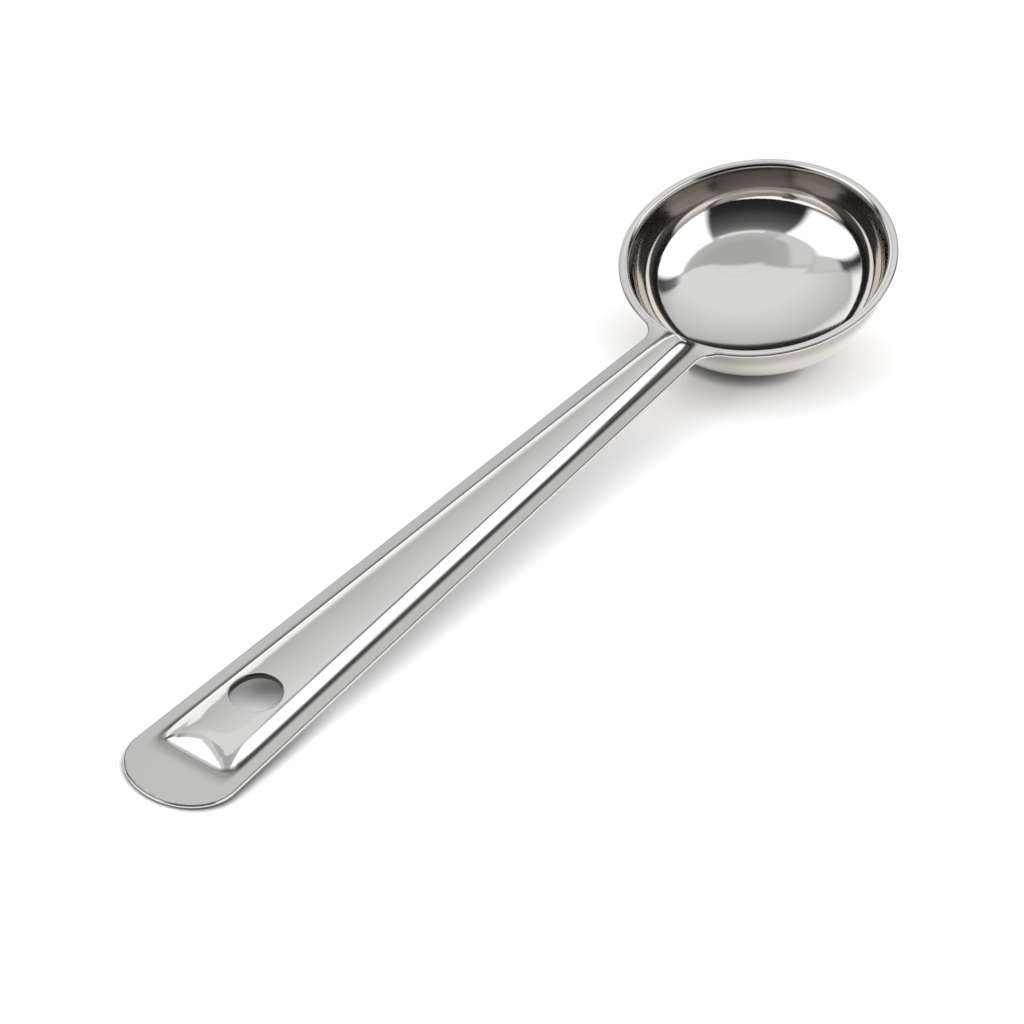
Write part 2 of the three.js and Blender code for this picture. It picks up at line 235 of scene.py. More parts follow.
def mesh_object(name: str, patches: list[np.ndarray], painted_shade: list[np.ndarray]) -> bpy.types.Object:
    """Join grids of points into one smooth closed mesh.

    Each grid gives a quad between four neighbouring points. Points in the same place are merged, the
    faces are turned outwards, and edges that turn sharply stay sharp.

    Args:
        name: Name of the object.
        patches: Grids of shape (rows, columns, 3), in metres.
        painted_shade: For each grid, the share of painted shade at its points, of shape (rows, columns).

    Returns:
        The object, at the origin.
    """
    points = []
    quads = []
    start = 0
    for patch in patches:
        rows, columns = patch.shape[:2]
        index = start + np.arange(rows * columns).reshape(rows, columns)
        corners = [index[:-1, :-1], index[:-1, 1:], index[1:, 1:], index[1:, :-1]]
        quads.append(np.stack(corners, axis=-1).reshape(-1, 4))
        points.append(patch.reshape(-1, 3))
        start += rows * columns
    all_points = np.concatenate(points)
    all_quads = np.concatenate(quads)
    mesh = bpy.data.meshes.new(name)
    mesh.vertices.add(len(all_points))
    mesh.vertices.foreach_set("co", all_points.ravel())
    mesh.loops.add(all_quads.size)
    mesh.loops.foreach_set("vertex_index", all_quads.ravel())
    mesh.polygons.add(len(all_quads))
    mesh.polygons.foreach_set("loop_start", np.arange(0, all_quads.size, 4))
    mesh.update(calc_edges=True)
    layer = mesh.attributes.new(PAINTED_SHADE, "FLOAT", "POINT")
    layer.data.foreach_set("value", np.concatenate([share.ravel() for share in painted_shade]))
    shell = bmesh.new()
    shell.from_mesh(mesh)
    bmesh.ops.remove_doubles(shell, verts=shell.verts, dist=MERGE_DISTANCE)
    bmesh.ops.recalc_face_normals(shell, faces=shell.faces)
    shell.to_mesh(mesh)
    shell.free()
    mesh.shade_smooth()
    mesh.set_sharp_from_angle(angle=math.radians(SHARP_ANGLE))
    piece = bpy.data.objects.new(name, mesh)
    bpy.context.scene.collection.objects.link(piece)
    return piece


def unshaded(patches: list[np.ndarray]) -> list[np.ndarray]:
    """Give grids of points no painted shade."""
    return [np.zeros(patch.shape[:2]) for patch in patches]


def lifted(height: Height, flat: np.ndarray) -> np.ndarray:
    """Raise flat points onto a height field: (x, y) becomes (x, y, height at x, y)."""
    return np.concatenate([flat, height(flat[..., 0], flat[..., 1])[..., None]], axis=-1)


def upright(height: Height, flat: np.ndarray) -> np.ndarray:
    """Find the unit normals of a height field.

    The slopes are central differences, and the normal is (-slope along x, -slope along y, 1), made a unit
    long.

    Args:
        height: Height field.
        flat: Places of shape (..., 2).

    Returns:
        Normals of shape (..., 3).
    """
    x, y = flat[..., 0], flat[..., 1]
    slope_x = (height(x + SLOPE_STEP, y) - height(x - SLOPE_STEP, y)) / (2 * SLOPE_STEP)
    slope_y = (height(x, y + SLOPE_STEP) - height(x, y - SLOPE_STEP)) / (2 * SLOPE_STEP)
    normal = np.stack([-slope_x, -slope_y, np.ones_like(x)], axis=-1)
    return normal / np.linalg.norm(normal, axis=-1, keepdims=True)


@dataclass(frozen=True)
class Sheet:
    """The steel sheet of both pressings, with its cut edges polished round.

    Attributes:
        thickness: Thickness of the sheet.
        gap: Room between two lapped sheets.
        rounding: Radius of a polished edge.
        edge_steps: Facets round a polished edge, on each face of the sheet.
        rim_shade: Painted shade over an outer edge, from the upper face round to the lower one: dark lines
            over the rounding and a dark underside.
        bore_shade: Painted shade over the edge of a hole, which darkens its wall as if it lay in shadow.
    """

    thickness: float = 1.2
    gap: float = 0.3
    rounding: float = 0.55
    edge_steps: int = 6
    # Painted shade on edges: dark lines over an outer edge's rounding, and a dark wall inside a hole
    rim_shade: tuple[float, ...] = (0.3, 0.85, 0.8, 0.4, 0.1, 0.05, 0.1, 0.1, 0.5, 0.8, 0.9, 0.9, 0.9, 0.9)
    bore_shade: tuple[float, ...] = (0.0, 0.1, 0.5, 0.9, 1.0, 1.0, 1.0, 1.0, 1.0, 1.0, 1.0, 1.0, 1.0, 1.0)

    @property
    def seat(self) -> float:
        """Depth at which a lapped sheet starts below the top of the upper one."""
        return self.thickness + self.gap

    def faces(self, height: Height, flats: list[np.ndarray]) -> list[np.ndarray]:
        """Make the upper and lower face of a sheet.

        The lower face is the upper one moved down along its normals by the thickness.

        Args:
            height: Height of the upper face.
            flats: Grids of flat places, of shape (rows, columns, 2).

        Returns:
            Two grids of points for each flat one.
        """
        patches = []
        for flat in flats:
            top = lifted(height, flat)
            patches.append(top)
            patches.append(top - self.thickness * upright(height, flat))
        return patches

    def edge(self, height: Height, loop: np.ndarray, outward: np.ndarray, rounding: np.ndarray) -> np.ndarray:
        """Make the edge of a sheet along a loop.

        From each face a quarter circle turns into the edge: outward by r sin(turn), and towards the
        middle of the sheet by r (1 - cos(turn)). Where r is nothing, the edge is straight across the
        sheet.

        Args:
            height: Height of the upper face.
            loop: Flat places along the edge, of shape (length, 2).
            outward: Flat directions out of the sheet there.
            rounding: Radius of the edge there.

        Returns:
            A grid of points.
        """
        top = lifted(height, loop)
        normal = upright(height, loop)
        out = np.concatenate([outward, np.zeros((len(loop), 1))], axis=-1)
        out = out - normal * np.sum(normal * out, axis=-1, keepdims=True)
        out = out / np.maximum(np.linalg.norm(out, axis=-1, keepdims=True), LEAST_LENGTH)
        turn = np.linspace(0, math.pi / 2, self.edge_steps + 1)[:, None, None]
        radius = rounding[None, :, None]
        aside = out * radius * np.sin(turn)
        inside = normal * radius * (1 - np.cos(turn))
        upper = top + aside - inside
        lower = top - normal * self.thickness + aside + inside
        return np.concatenate([upper, lower[::-1]], axis=0)


@dataclass(frozen=True)
class Rest:
    """How the ladle lies on the table, on the bottom of its bowl and the tip of its handle.

    Attributes:
        tilt: Lean of the bowl's axis.
        along: Shift along the ladle.
        lift: Height of the brim's middle above the table.
    """

    tilt: float = 14.55545937901051
    along: float = 115.30888
    lift: float = 28.21702

    def placed(self, points: np.ndarray) -> np.ndarray:
        """Lay points of the upright pressing down on the table.

        They turn about Y by the tilt and move along X and Z.

        Args:
            points: Millimetres, of shape (..., 3).

        Returns:
            Metres in the frame.
        """
        turn = math.radians(self.tilt)
        x = points[..., 0] * math.cos(turn) - points[..., 2] * math.sin(turn) + self.along
        z = points[..., 0] * math.sin(turn) + points[..., 2] * math.cos(turn) + self.lift
        return np.stack([x, points[..., 1], z], axis=-1) * MM


@dataclass(frozen=True)
class Outline:
    """Flat outline of the handle: along the mouth, round the neck fillet, down a taper and round the tip.

    Attributes:
        brim_radius: Outer radius of the bowl's brim.
        length: Length of the handle from the brim.
        neck_width: Width at the brim.
        tip_width: Width where the round of the tip starts.
        tip_round: Length of the round of the tip.
        fillet: Radius between the handle's edge and the brim.
        bend_inset: How far inside the brim's edge the handle starts to bend up.
        bend_length: Length of the bend.
        kick: Angle of the bend.
    """

    brim_radius: float = 42.0
    length: float = 231.5
    neck_width: float = 18.4
    tip_width: float = 33.6
    tip_round: float = 13.5
    fillet: float = 7.0
    bend_inset: float = 2.0
    bend_length: float = 5.0
    kick: float = 10.5

    @property
    def reach(self) -> float:
        """Distance of the tip from the bowl's axis."""
        return self.brim_radius + self.length

    @property
    def tip_start(self) -> float:
        """Place where the round of the tip starts."""
        return self.reach - self.tip_round

    @property
    def taper(self) -> float:
        """Growth of the half width along the handle."""
        return (self.tip_width - self.neck_width) / 2 / (self.tip_start - self.brim_radius)

    @property
    def along(self) -> np.ndarray:
        """Direction of the straight edge."""
        return np.array([1.0, self.taper]) / math.hypot(1.0, self.taper)

    @property
    def outward(self) -> np.ndarray:
        """Direction across the straight edge, out of the sheet."""
        return np.array([-self.along[1], self.along[0]])

    @property
    def edge_offset(self) -> float:
        """Distance of the straight edge's line from the bowl's axis."""
        return float(self.outward @ np.array([self.brim_radius, self.neck_width / 2]))

    @property
    def fillet_along(self) -> float:
        """Distance of the fillet's centre along the straight edge."""
        return math.sqrt((self.brim_radius + self.fillet) ** 2 - (self.edge_offset + self.fillet) ** 2)

    @property
    def fillet_centre(self) -> np.ndarray:
        """Centre of the neck fillet."""
        return self.outward * (self.edge_offset + self.fillet) + self.along * self.fillet_along

    @property
    def seam_angle(self) -> float:
        """Half the angle of the brim that the handle takes up, in radians."""
        return math.atan2(self.fillet_centre[1], self.fillet_centre[0])

    def half_width(self, x: np.ndarray) -> np.ndarray:
        """Half the width of the handle at a place along it."""
        return self.neck_width / 2 + self.taper * (x - self.brim_radius)

    def fillet_reach(self, inset: float) -> float:
        """Distance from the bowl's axis at which the fillet ends, an inset in from the outline."""
        return math.hypot(self.fillet_along, self.edge_offset - inset)

    def edge_at(self, reach: np.ndarray, inset: float) -> tuple[np.ndarray, np.ndarray]:
        """Find the edge at a distance from the bowl's axis.

        Up to the brim it is the seam's ray, then the circle of the fillet crossed with the circle of that
        distance, then the straight edge.

        Args:
            reach: Distances from the bowl's axis.
            inset: How far in from the outline.

        Returns:
            Places along and across.
        """
        ray_x = reach * math.cos(self.seam_angle)
        ray_y = reach * math.sin(self.seam_angle)
        span = float(np.hypot(*self.fillet_centre))
        unit = self.fillet_centre / span
        foot = (reach**2 - (self.fillet + inset) ** 2 + span**2) / (2 * span)
        side = np.sqrt(np.maximum(0, reach**2 - foot**2))
        offset = self.edge_offset - inset
        far = np.sqrt(np.maximum(0, reach**2 - offset**2))
        on_ray = reach <= self.brim_radius - inset
        on_fillet = reach < self.fillet_reach(inset)
        line_x = self.outward[0] * offset + self.along[0] * far
        line_y = self.outward[1] * offset + self.along[1] * far
        x = np.where(on_ray, ray_x, np.where(on_fillet, unit[0] * foot + unit[1] * side, line_x))
        y = np.where(on_ray, ray_y, np.where(on_fillet, unit[1] * foot - unit[0] * side, line_y))
        return x, y

    def bent(self, points: np.ndarray) -> np.ndarray:
        """Bend the flat handle up and turn it towards -X.

        Past the start of the bend a point goes round an arc, by the length along it over the arc's
        radius, and past its end it goes on straight.

        Args:
            points: Flat points, of shape (..., 3).

        Returns:
            Points of the upright pressing.
        """
        x, y, z = points[..., 0], points[..., 1], points[..., 2]
        start = self.brim_radius - self.bend_inset
        kick = math.radians(self.kick)
        radius = self.bend_length / kick
        turn = np.clip((x - start) / radius, 0, kick)
        rest = np.maximum(0, x - start - self.bend_length)
        reach = np.minimum(x, start) + (radius - z) * np.sin(turn) + rest * np.cos(turn)
        lift = radius - (radius - z) * np.cos(turn) + rest * np.sin(turn)
        return np.stack([-reach, y, lift], axis=-1)


class Polish(Enum):
    """Way in which a piece was moved against the polishing wheel."""

    ALONG = "along"
    ROUND = "round"


@dataclass(frozen=True)
class PolishedSteel:
    """Stainless steel sheet, drawn and then mirror-polished on cloth wheels.

    It gives the eye a clear, slightly warm mirror image, softened a little by fine wheel lines, and bent
    by the shallow waves that the press leaves in flat sheet.

    Attributes:
        name: Name of the material.
        polish: Way of the wheel lines.
        colour: Colour that the steel mirrors.
        worn_colour: Colour where the polish is duller.
        shade_colour: Dark colour painted where shade falls: in creases, hollows, on edges and underneath.
        shade_roughness: Roughness that is added where shade is painted.
        roughness: Least and most roughness.
        line_width: Width of a wheel line. Real ones are a hundredth of this, too fine to show.
        line_depth: Depth of a wheel line.
        line_stretch: Scale of straight lines along the handle, as a share of that across it.
        wave_length: Width of a press wave.
        wave_depth: Depth of a press wave.
    """

    name: str
    polish: Polish
    colour: str = "D5D0CB"
    worn_colour: str = "CFCAC4"
    shade_colour: str = "57524D"
    shade_roughness: float = 0.12
    roughness: tuple[float, float] = (0.05, 0.075)
    line_width: float = 0.5
    line_depth: float = 0.00004
    line_stretch: float = 0.012
    wave_length: float = 26.0
    wave_depth: float = 0.02

    def material(self, rest: Rest) -> bpy.types.Material:
        """Make the material.

        Args:
            rest: Lie of the ladle, which centres the lines of a round polish.

        Returns:
            The material.
        """
        material = new_material(self.name)
        tree = material.node_tree
        place = add_node(tree, "ShaderNodeTexCoord", {}, {}).outputs["Object"]
        lines = self.wheel_lines(tree, place, rest)
        wave_scale = 1 / (self.wave_length * MM)
        waviness = {"Vector": place, "Scale": wave_scale, "Detail": 1.0, "Roughness": 0.4}
        waves = add_node(tree, "ShaderNodeTexNoise", {}, waviness).outputs["Fac"]
        lined_gloss = add_range(tree, lines, NOISE_SPAN, self.roughness)
        # Painted shade: the mesh's shade attribute mixes the steel towards a dark colour and roughens it in
        # creases, hollows, on edges and underneath
        painted_shade = add_node(tree, "ShaderNodeAttribute", {"attribute_name": PAINTED_SHADE}, {}).outputs["Fac"]
        gloss = add_math(tree, "MULTIPLY_ADD", painted_shade, self.shade_roughness, lined_gloss)
        steel = add_mix(tree, waves, linear_colour(self.colour), linear_colour(self.worn_colour))
        tone = add_mix(tree, painted_shade, steel, linear_colour(self.shade_colour))
        wavy = add_bump(tree, waves, self.wave_depth, {})
        lined = add_bump(tree, lines, self.line_depth, {"Normal": wavy})
        add_metal(tree, tone, gloss, lined)
        return material

    def wheel_lines(
        self, tree: bpy.types.NodeTree, place: bpy.types.NodeSocket, rest: Rest
    ) -> bpy.types.NodeSocket:
        """Draw the wheel lines: noise stretched along the handle, or rings round the bowl's axis.

        Args:
            tree: Node tree of the material.
            place: Object coordinates.
            rest: Lie of the ladle.

        Returns:
            A value from 0 to 1.
        """
        scale = 1 / (self.line_width * MM)
        if self.polish is Polish.ALONG:
            stretched = add_node(
                tree, "ShaderNodeMapping", {}, {"Vector": place, "Scale": (self.line_stretch, 1.0, 1.0)}
            ).outputs["Vector"]
            return add_node(
                tree, "ShaderNodeTexNoise", {}, {"Vector": stretched, "Scale": scale, "Detail": 2.0}
            ).outputs["Fac"]
        centred = add_node(
            tree,
            "ShaderNodeMapping",
            {"vector_type": "TEXTURE"},
            {
                "Vector": place,
                "Location": (rest.along * MM, 0.0, rest.lift * MM),
                "Rotation": (0.0, -math.radians(rest.tilt), 0.0),
            },
        ).outputs["Vector"]
        return add_node(
            tree,
            "ShaderNodeTexWave",
            {"wave_type": "RINGS", "rings_direction": "Z"},
            {
                "Vector": centred,
                "Scale": scale * WAVE_SCALE,
                "Distortion": 2.0,
                "Detail": 2.0,
                "Detail Scale": 1.0,
            },
        ).outputs["Fac"]


@dataclass(frozen=True)
class WeldSteel:
    """Stainless steel that was melted in a plug weld and brushed clean.

    It gives the eye a dull grey gloss with small ripples and a faint straw tint from the heat.

    Attributes:
        name: Name of the material.
        colour: Colour of the clean metal.
        tint: Colour that the heat left.
        roughness: Least and most roughness.
        ripple: Width of a ripple.
        ripple_depth: Depth of a ripple.
    """

    name: str
    colour: str = "B9B6B1"
    tint: str = "A89C86"
    roughness: tuple[float, float] = (0.3, 0.5)
    ripple: float = 0.5
    ripple_depth: float = 0.02

    def material(self) -> bpy.types.Material:
        """Make the material from one noise, the ripples, which sets colour, gloss and bumps.

        Returns:
            The material.
        """
        material = new_material(self.name)
        tree = material.node_tree
        place = add_node(tree, "ShaderNodeTexCoord", {}, {}).outputs["Object"]
        ripples = add_node(
            tree, "ShaderNodeTexNoise", {}, {"Vector": place, "Scale": 1 / (self.ripple * MM), "Detail": 4.0}
        ).outputs["Fac"]
        gloss = add_range(tree, ripples, NOISE_SPAN, self.roughness)
        tone = add_mix(tree, ripples, linear_colour(self.colour), linear_colour(self.tint))
        add_metal(tree, tone, gloss, add_bump(tree, ripples, self.ripple_depth, {}))
        return material


@dataclass(frozen=True)
class Bowl:
    """The drawn bowl, with a brim folded outward and a tongue that laps under the handle.

    Attributes:
        sheet: Its steel sheet.
        outline: Outline of the handle, which opens the brim.
        rest: Lie of the ladle.
        brim_width: Width of the brim past the middle of its fold.
        depth: Depth below the brim.
        side_share: Radius of the side's round, as a share of the depth.
        wall_share: Length of the straight wall, as a share of the depth.
        wall_lean: Lean of the wall.
        fold_radius: Radius of the fold, underneath.
        brim_crown: Radius of the round across the brim.
        tongue_length: Length of the tongue past the brim.
        tongue_inset: How far the tongue stays inside the handle's edge.
        tongue_corner: Radius of its corners.
        tongue_waist: How much narrower the tongue is, on each side, where it leaves the bowl.
        waist_length: Length past the brim over which it widens.
        wall_shade: Painted shade on the inside of the wall.
        wall_rows: Rows below the wall over which it fades out.
        fold_shade: Painted shade in the fold, from the wall to the brim.
        hairline: Width of the joint to the handle.
        columns: Columns round the bowl.
        arc_rows: Rows over each of the two arcs of the side.
        fold_rows: Rows over the fold.
        brim_rows: Rows over the round across the brim.
        lip_rows: Rows over which the fold keeps the wall's painted shade.
        under_rows: Rows under the brim over which the painted shade ends.
        tongue_rows: Rows along the tongue and round its corners.
        tongue_columns: Columns across the tongue.
    """

    sheet: Sheet
    outline: Outline
    rest: Rest
    brim_width: float = 1.6
    depth: float = 26.7
    side_share: float = 0.757
    wall_share: float = 0.13
    wall_lean: float = 6.5
    fold_radius: float = 0.6
    brim_crown: float = 3.0
    tongue_length: float = 22.0
    tongue_inset: float = 0.5
    tongue_corner: float = 3.0
    tongue_waist: float = 4.5
    waist_length: float = 7.0
    wall_shade: float = 0.55
    wall_rows: int = 10
    fold_shade: tuple[float, ...] = (0.6, 0.8, 0.9, 0.5, 0.1)
    hairline: float = 0.02
    columns: int = 264
    arc_rows: int = 34
    fold_rows: int = 13
    brim_rows: int = 9
    lip_rows: int = 3
    under_rows: int = 6
    tongue_rows: tuple[int, int] = (24, 9)
    tongue_columns: int = 17

    @property
    def fold_reach(self) -> float:
        """Distance of the fold's middle from the bowl's axis."""
        return self.outline.brim_radius - self.brim_width

    @property
    def fold_drop(self) -> float:
        """Depth of the fold's middle below the brim, which is the fold's radius on top."""
        return self.sheet.thickness + self.fold_radius

    @property
    def lean(self) -> float:
        """Lean of the wall in radians."""
        return math.radians(self.wall_lean)

    @property
    def mouth_radius(self) -> float:
        """Inner radius of the wall at the depth of the tongue."""
        return self.fold_reach - math.sqrt(self.fold_drop**2 - (self.fold_drop - self.sheet.seat) ** 2)

    @property
    def tongue_reach(self) -> float:
        """Distance of the tongue's end from the bowl's axis."""
        return self.outline.brim_radius + self.tongue_length

    def side_line(self, inset: float) -> np.ndarray:
        """Draw one side of the sheet from the bottom's pole to the start of the fold.

        Two arcs, each centre + radius (sin(turn), -cos(turn)): the wide round of the bottom, whose circle
        touches that of the side, and the round of the side, which ends where it runs along the leaning
        wall.

        Args:
            inset: Distance in from the outside of the sheet.

        Returns:
            Places out from the axis and up.
        """
        wall = self.wall_share * self.depth
        side_radius = self.side_share * self.depth
        fold_to_side = self.fold_radius + side_radius
        side_reach = self.fold_reach - fold_to_side * math.cos(self.lean) - wall * math.sin(self.lean)
        side_lift = fold_to_side * math.sin(self.lean) - wall * math.cos(self.lean) - self.fold_drop
        floor = side_lift + self.depth
        bottom_radius = (side_reach**2 + floor**2 - side_radius**2) / (2 * (floor - side_radius))
        bottom_lift = bottom_radius - self.depth
        meet = math.atan2(side_reach, bottom_lift - side_lift)
        low = np.linspace(0, meet, self.arc_rows)[:-1]
        high = np.linspace(meet, math.pi / 2 - self.lean, self.arc_rows)
        bottom = np.stack([np.sin(low), -np.cos(low)], axis=-1) * (bottom_radius - inset) + [0, bottom_lift]
        side = np.stack([np.sin(high), -np.cos(high)], axis=-1) * (side_radius - inset)
        return np.concatenate([bottom, side + [side_reach, side_lift]])

    def fold_line(self, radius: float) -> np.ndarray:
        """Draw the fold from the wall to the brim, an arc about the fold's middle.

        Args:
            radius: Radius of the arc.

        Returns:
            Places out from the axis and up.
        """
        turn = np.linspace(math.pi / 2 - self.lean, 0, self.fold_rows)
        middle = [self.fold_reach, -self.fold_drop]
        return np.stack([-np.sin(turn), np.cos(turn)], axis=-1) * radius + middle

    def brim_drop(self, reach: np.ndarray) -> np.ndarray:
        """How far the round across the brim has come down at a distance from the axis."""
        out = np.clip(reach - self.fold_reach, 0, self.brim_width)
        return self.brim_crown - np.sqrt(self.brim_crown**2 - out**2)

    def brim_line(self) -> np.ndarray:
        """Draw the brim: the fold on top, the round across it, the polished edge and the same beneath.

        The edge is two quarter circles, set on the tangent and the normal of the round where it ends.

        Returns:
            Places out from the axis and up.
        """
        edge = self.sheet.rounding
        end = math.asin((self.brim_width - edge) / self.brim_crown)
        round_turn = np.linspace(0, end, self.brim_rows)[1:]
        middle = np.array([self.fold_reach, -self.brim_crown])
        across = np.stack([np.sin(round_turn), np.cos(round_turn)], axis=-1)
        top = middle + across * self.brim_crown
        below = middle + across * (self.brim_crown - self.sheet.thickness)
        edge_turn = np.linspace(0, math.pi / 2, self.sheet.edge_steps + 1)[1:, None]
        aside = np.array([math.cos(end), -math.sin(end)]) * edge * np.sin(edge_turn)
        inside = across[-1] * edge * (1 - np.cos(edge_turn))
        upper = [self.fold_line(self.fold_drop), top, top[-1] + aside - inside]
        lower = [self.fold_line(self.fold_radius), below, below[-1] + aside + inside]
        return np.concatenate([*upper, np.concatenate(lower)[::-1]])

    def shell(self) -> np.ndarray:
        """Turn the profile about the bowl's axis.

        Each column is the profile turned to its angle from the handle. Where the handle's end is, the
        brim's part of the profile is instead the straight cut across the wall, and doubled columns at the
        seams close the brim.

        Returns:
            A grid of points of the upright pressing.
        """
        inner = self.side_line(self.sheet.thickness)
        outer = self.side_line(0)[::-1]
        brim = self.brim_line()
        share = np.linspace(0, 1, len(brim))[:, None]
        cut = brim[0] + (brim[-1] - brim[0]) * share
        whole = np.concatenate([inner, brim, outer])
        opened = np.concatenate([inner, cut, outer])
        opening = self.outline.seam_angle + self.hairline / self.outline.brim_radius
        inside = np.linspace(-opening, opening, round(self.columns * opening / math.pi) + 1)
        around = np.linspace(opening, 2 * math.pi - opening, self.columns - len(inside))
        angle = np.concatenate([inside, around, [-opening]])
        is_open = np.concatenate([np.ones(len(inside)), np.zeros(len(around)), [1]])[None, :]
        reach = np.where(is_open, opened[:, :1], whole[:, :1])
        lift = np.where(is_open, opened[:, 1:], whole[:, 1:])
        return np.stack([-reach * np.cos(angle), reach * np.sin(angle), lift], axis=-1)

    def tongue(self) -> list[np.ndarray]:
        """Make the tongue: a flat sheet inside the handle's edge, bent up with the handle.

        Its rows are arcs round the bowl's axis at the root and straighten towards its end, whose corners are
        quarter circles. Past the brim it widens in a straight line from its waist.

        Returns:
            Grids of points of the upright pressing.
        """
        root = self.mouth_radius + self.sheet.thickness / 2
        corner = self.tongue_corner
        straight = np.linspace(root, self.tongue_reach - corner, self.tongue_rows[0])[:-1]
        turn = np.linspace(0, math.pi / 2, self.tongue_rows[1])
        reach = np.concatenate([straight, self.tongue_reach - corner * (1 - np.sin(turn))])
        past = np.maximum(0, reach - self.tongue_reach + corner)
        waist = self.tongue_waist * np.clip(1 - (reach - self.outline.brim_radius) / self.waist_length, 0, 1)
        trim = self.tongue_inset + waist + corner - np.sqrt(np.maximum(0, corner**2 - past**2))
        edge_x, edge_y = self.outline.edge_at(reach, 0)
        roundness = (self.tongue_reach - reach) / (self.tongue_reach - root)
        across = (edge_y - trim)[:, None] * np.linspace(1, -1, self.tongue_columns)
        ring = np.sqrt(np.maximum(0, reach[:, None] ** 2 - across**2))
        flat = np.stack([edge_x[:, None] + roundness[:, None] * (ring - edge_x[:, None]), across], axis=-1)
        loop = np.concatenate([flat[:, 0], flat[-1, 1:], flat[-2::-1, -1], flat[0, -2::-1]])
        top = -self.sheet.seat

        def level(x: np.ndarray, y: np.ndarray) -> np.ndarray:
            """Height of the tongue, the same all over."""
            return np.full_like(x, top)

        patches = self.sheet.faces(level, [flat])
        patches.append(self.sheet.edge(level, loop, loop - loop.mean(axis=0), np.zeros(len(loop))))
        return [self.outline.bent(patch) for patch in patches]

    def painted_shade(self, rows: int, columns: int) -> np.ndarray:
        """Paint shade on the wall, in the fold, over the shell's edge and, fading out, under its brim.

        Args:
            rows: Rows of the shell.
            columns: Columns of the shell.

        Returns:
            Shares of painted shade, of shape (rows, columns).
        """
        steps = self.sheet.edge_steps
        rim = np.array(self.sheet.rim_shade)
        brim = len(self.brim_line())
        side = (rows - brim) // 2
        # Painted shade: darker inside the wall, in the fold, over the edge and under the brim
        share = np.zeros(rows)
        share[side - self.wall_rows : side] = np.linspace(0, self.wall_shade, self.wall_rows)
        lip = side + self.lip_rows
        share[side:lip] = self.wall_shade
        share[lip : lip + len(self.fold_shade)] = self.fold_shade
        middle = side + brim // 2
        share[middle - steps - 1 : middle + steps + 1] = rim
        under = side + brim - (middle + steps + 1)
        share[middle + steps + 1 : side + brim] = np.linspace(rim[-1], rim[-1] / 2, under)
        end = side + brim + self.under_rows
        share[side + brim : end] = np.linspace(rim[-1] / 2, 0, self.under_rows)
        return np.repeat(share[:, None], columns, axis=1)

    def build(self, finish: PolishedSteel) -> bpy.types.Object:
        """Build and dress the bowl.

        Args:
            finish: Its steel.

        Returns:
            The piece.
        """
        patches = [self.shell(), *self.tongue()]
        painted_shade = [self.painted_shade(*patches[0].shape[:2]), *unshaded(patches[1:])]
        piece = mesh_object("ladle_bowl", [self.rest.placed(patch) for patch in patches], painted_shade)
        piece.data.materials.append(finish.material(self.rest))
        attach(piece, BODY)
        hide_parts("bowl")
        return piece


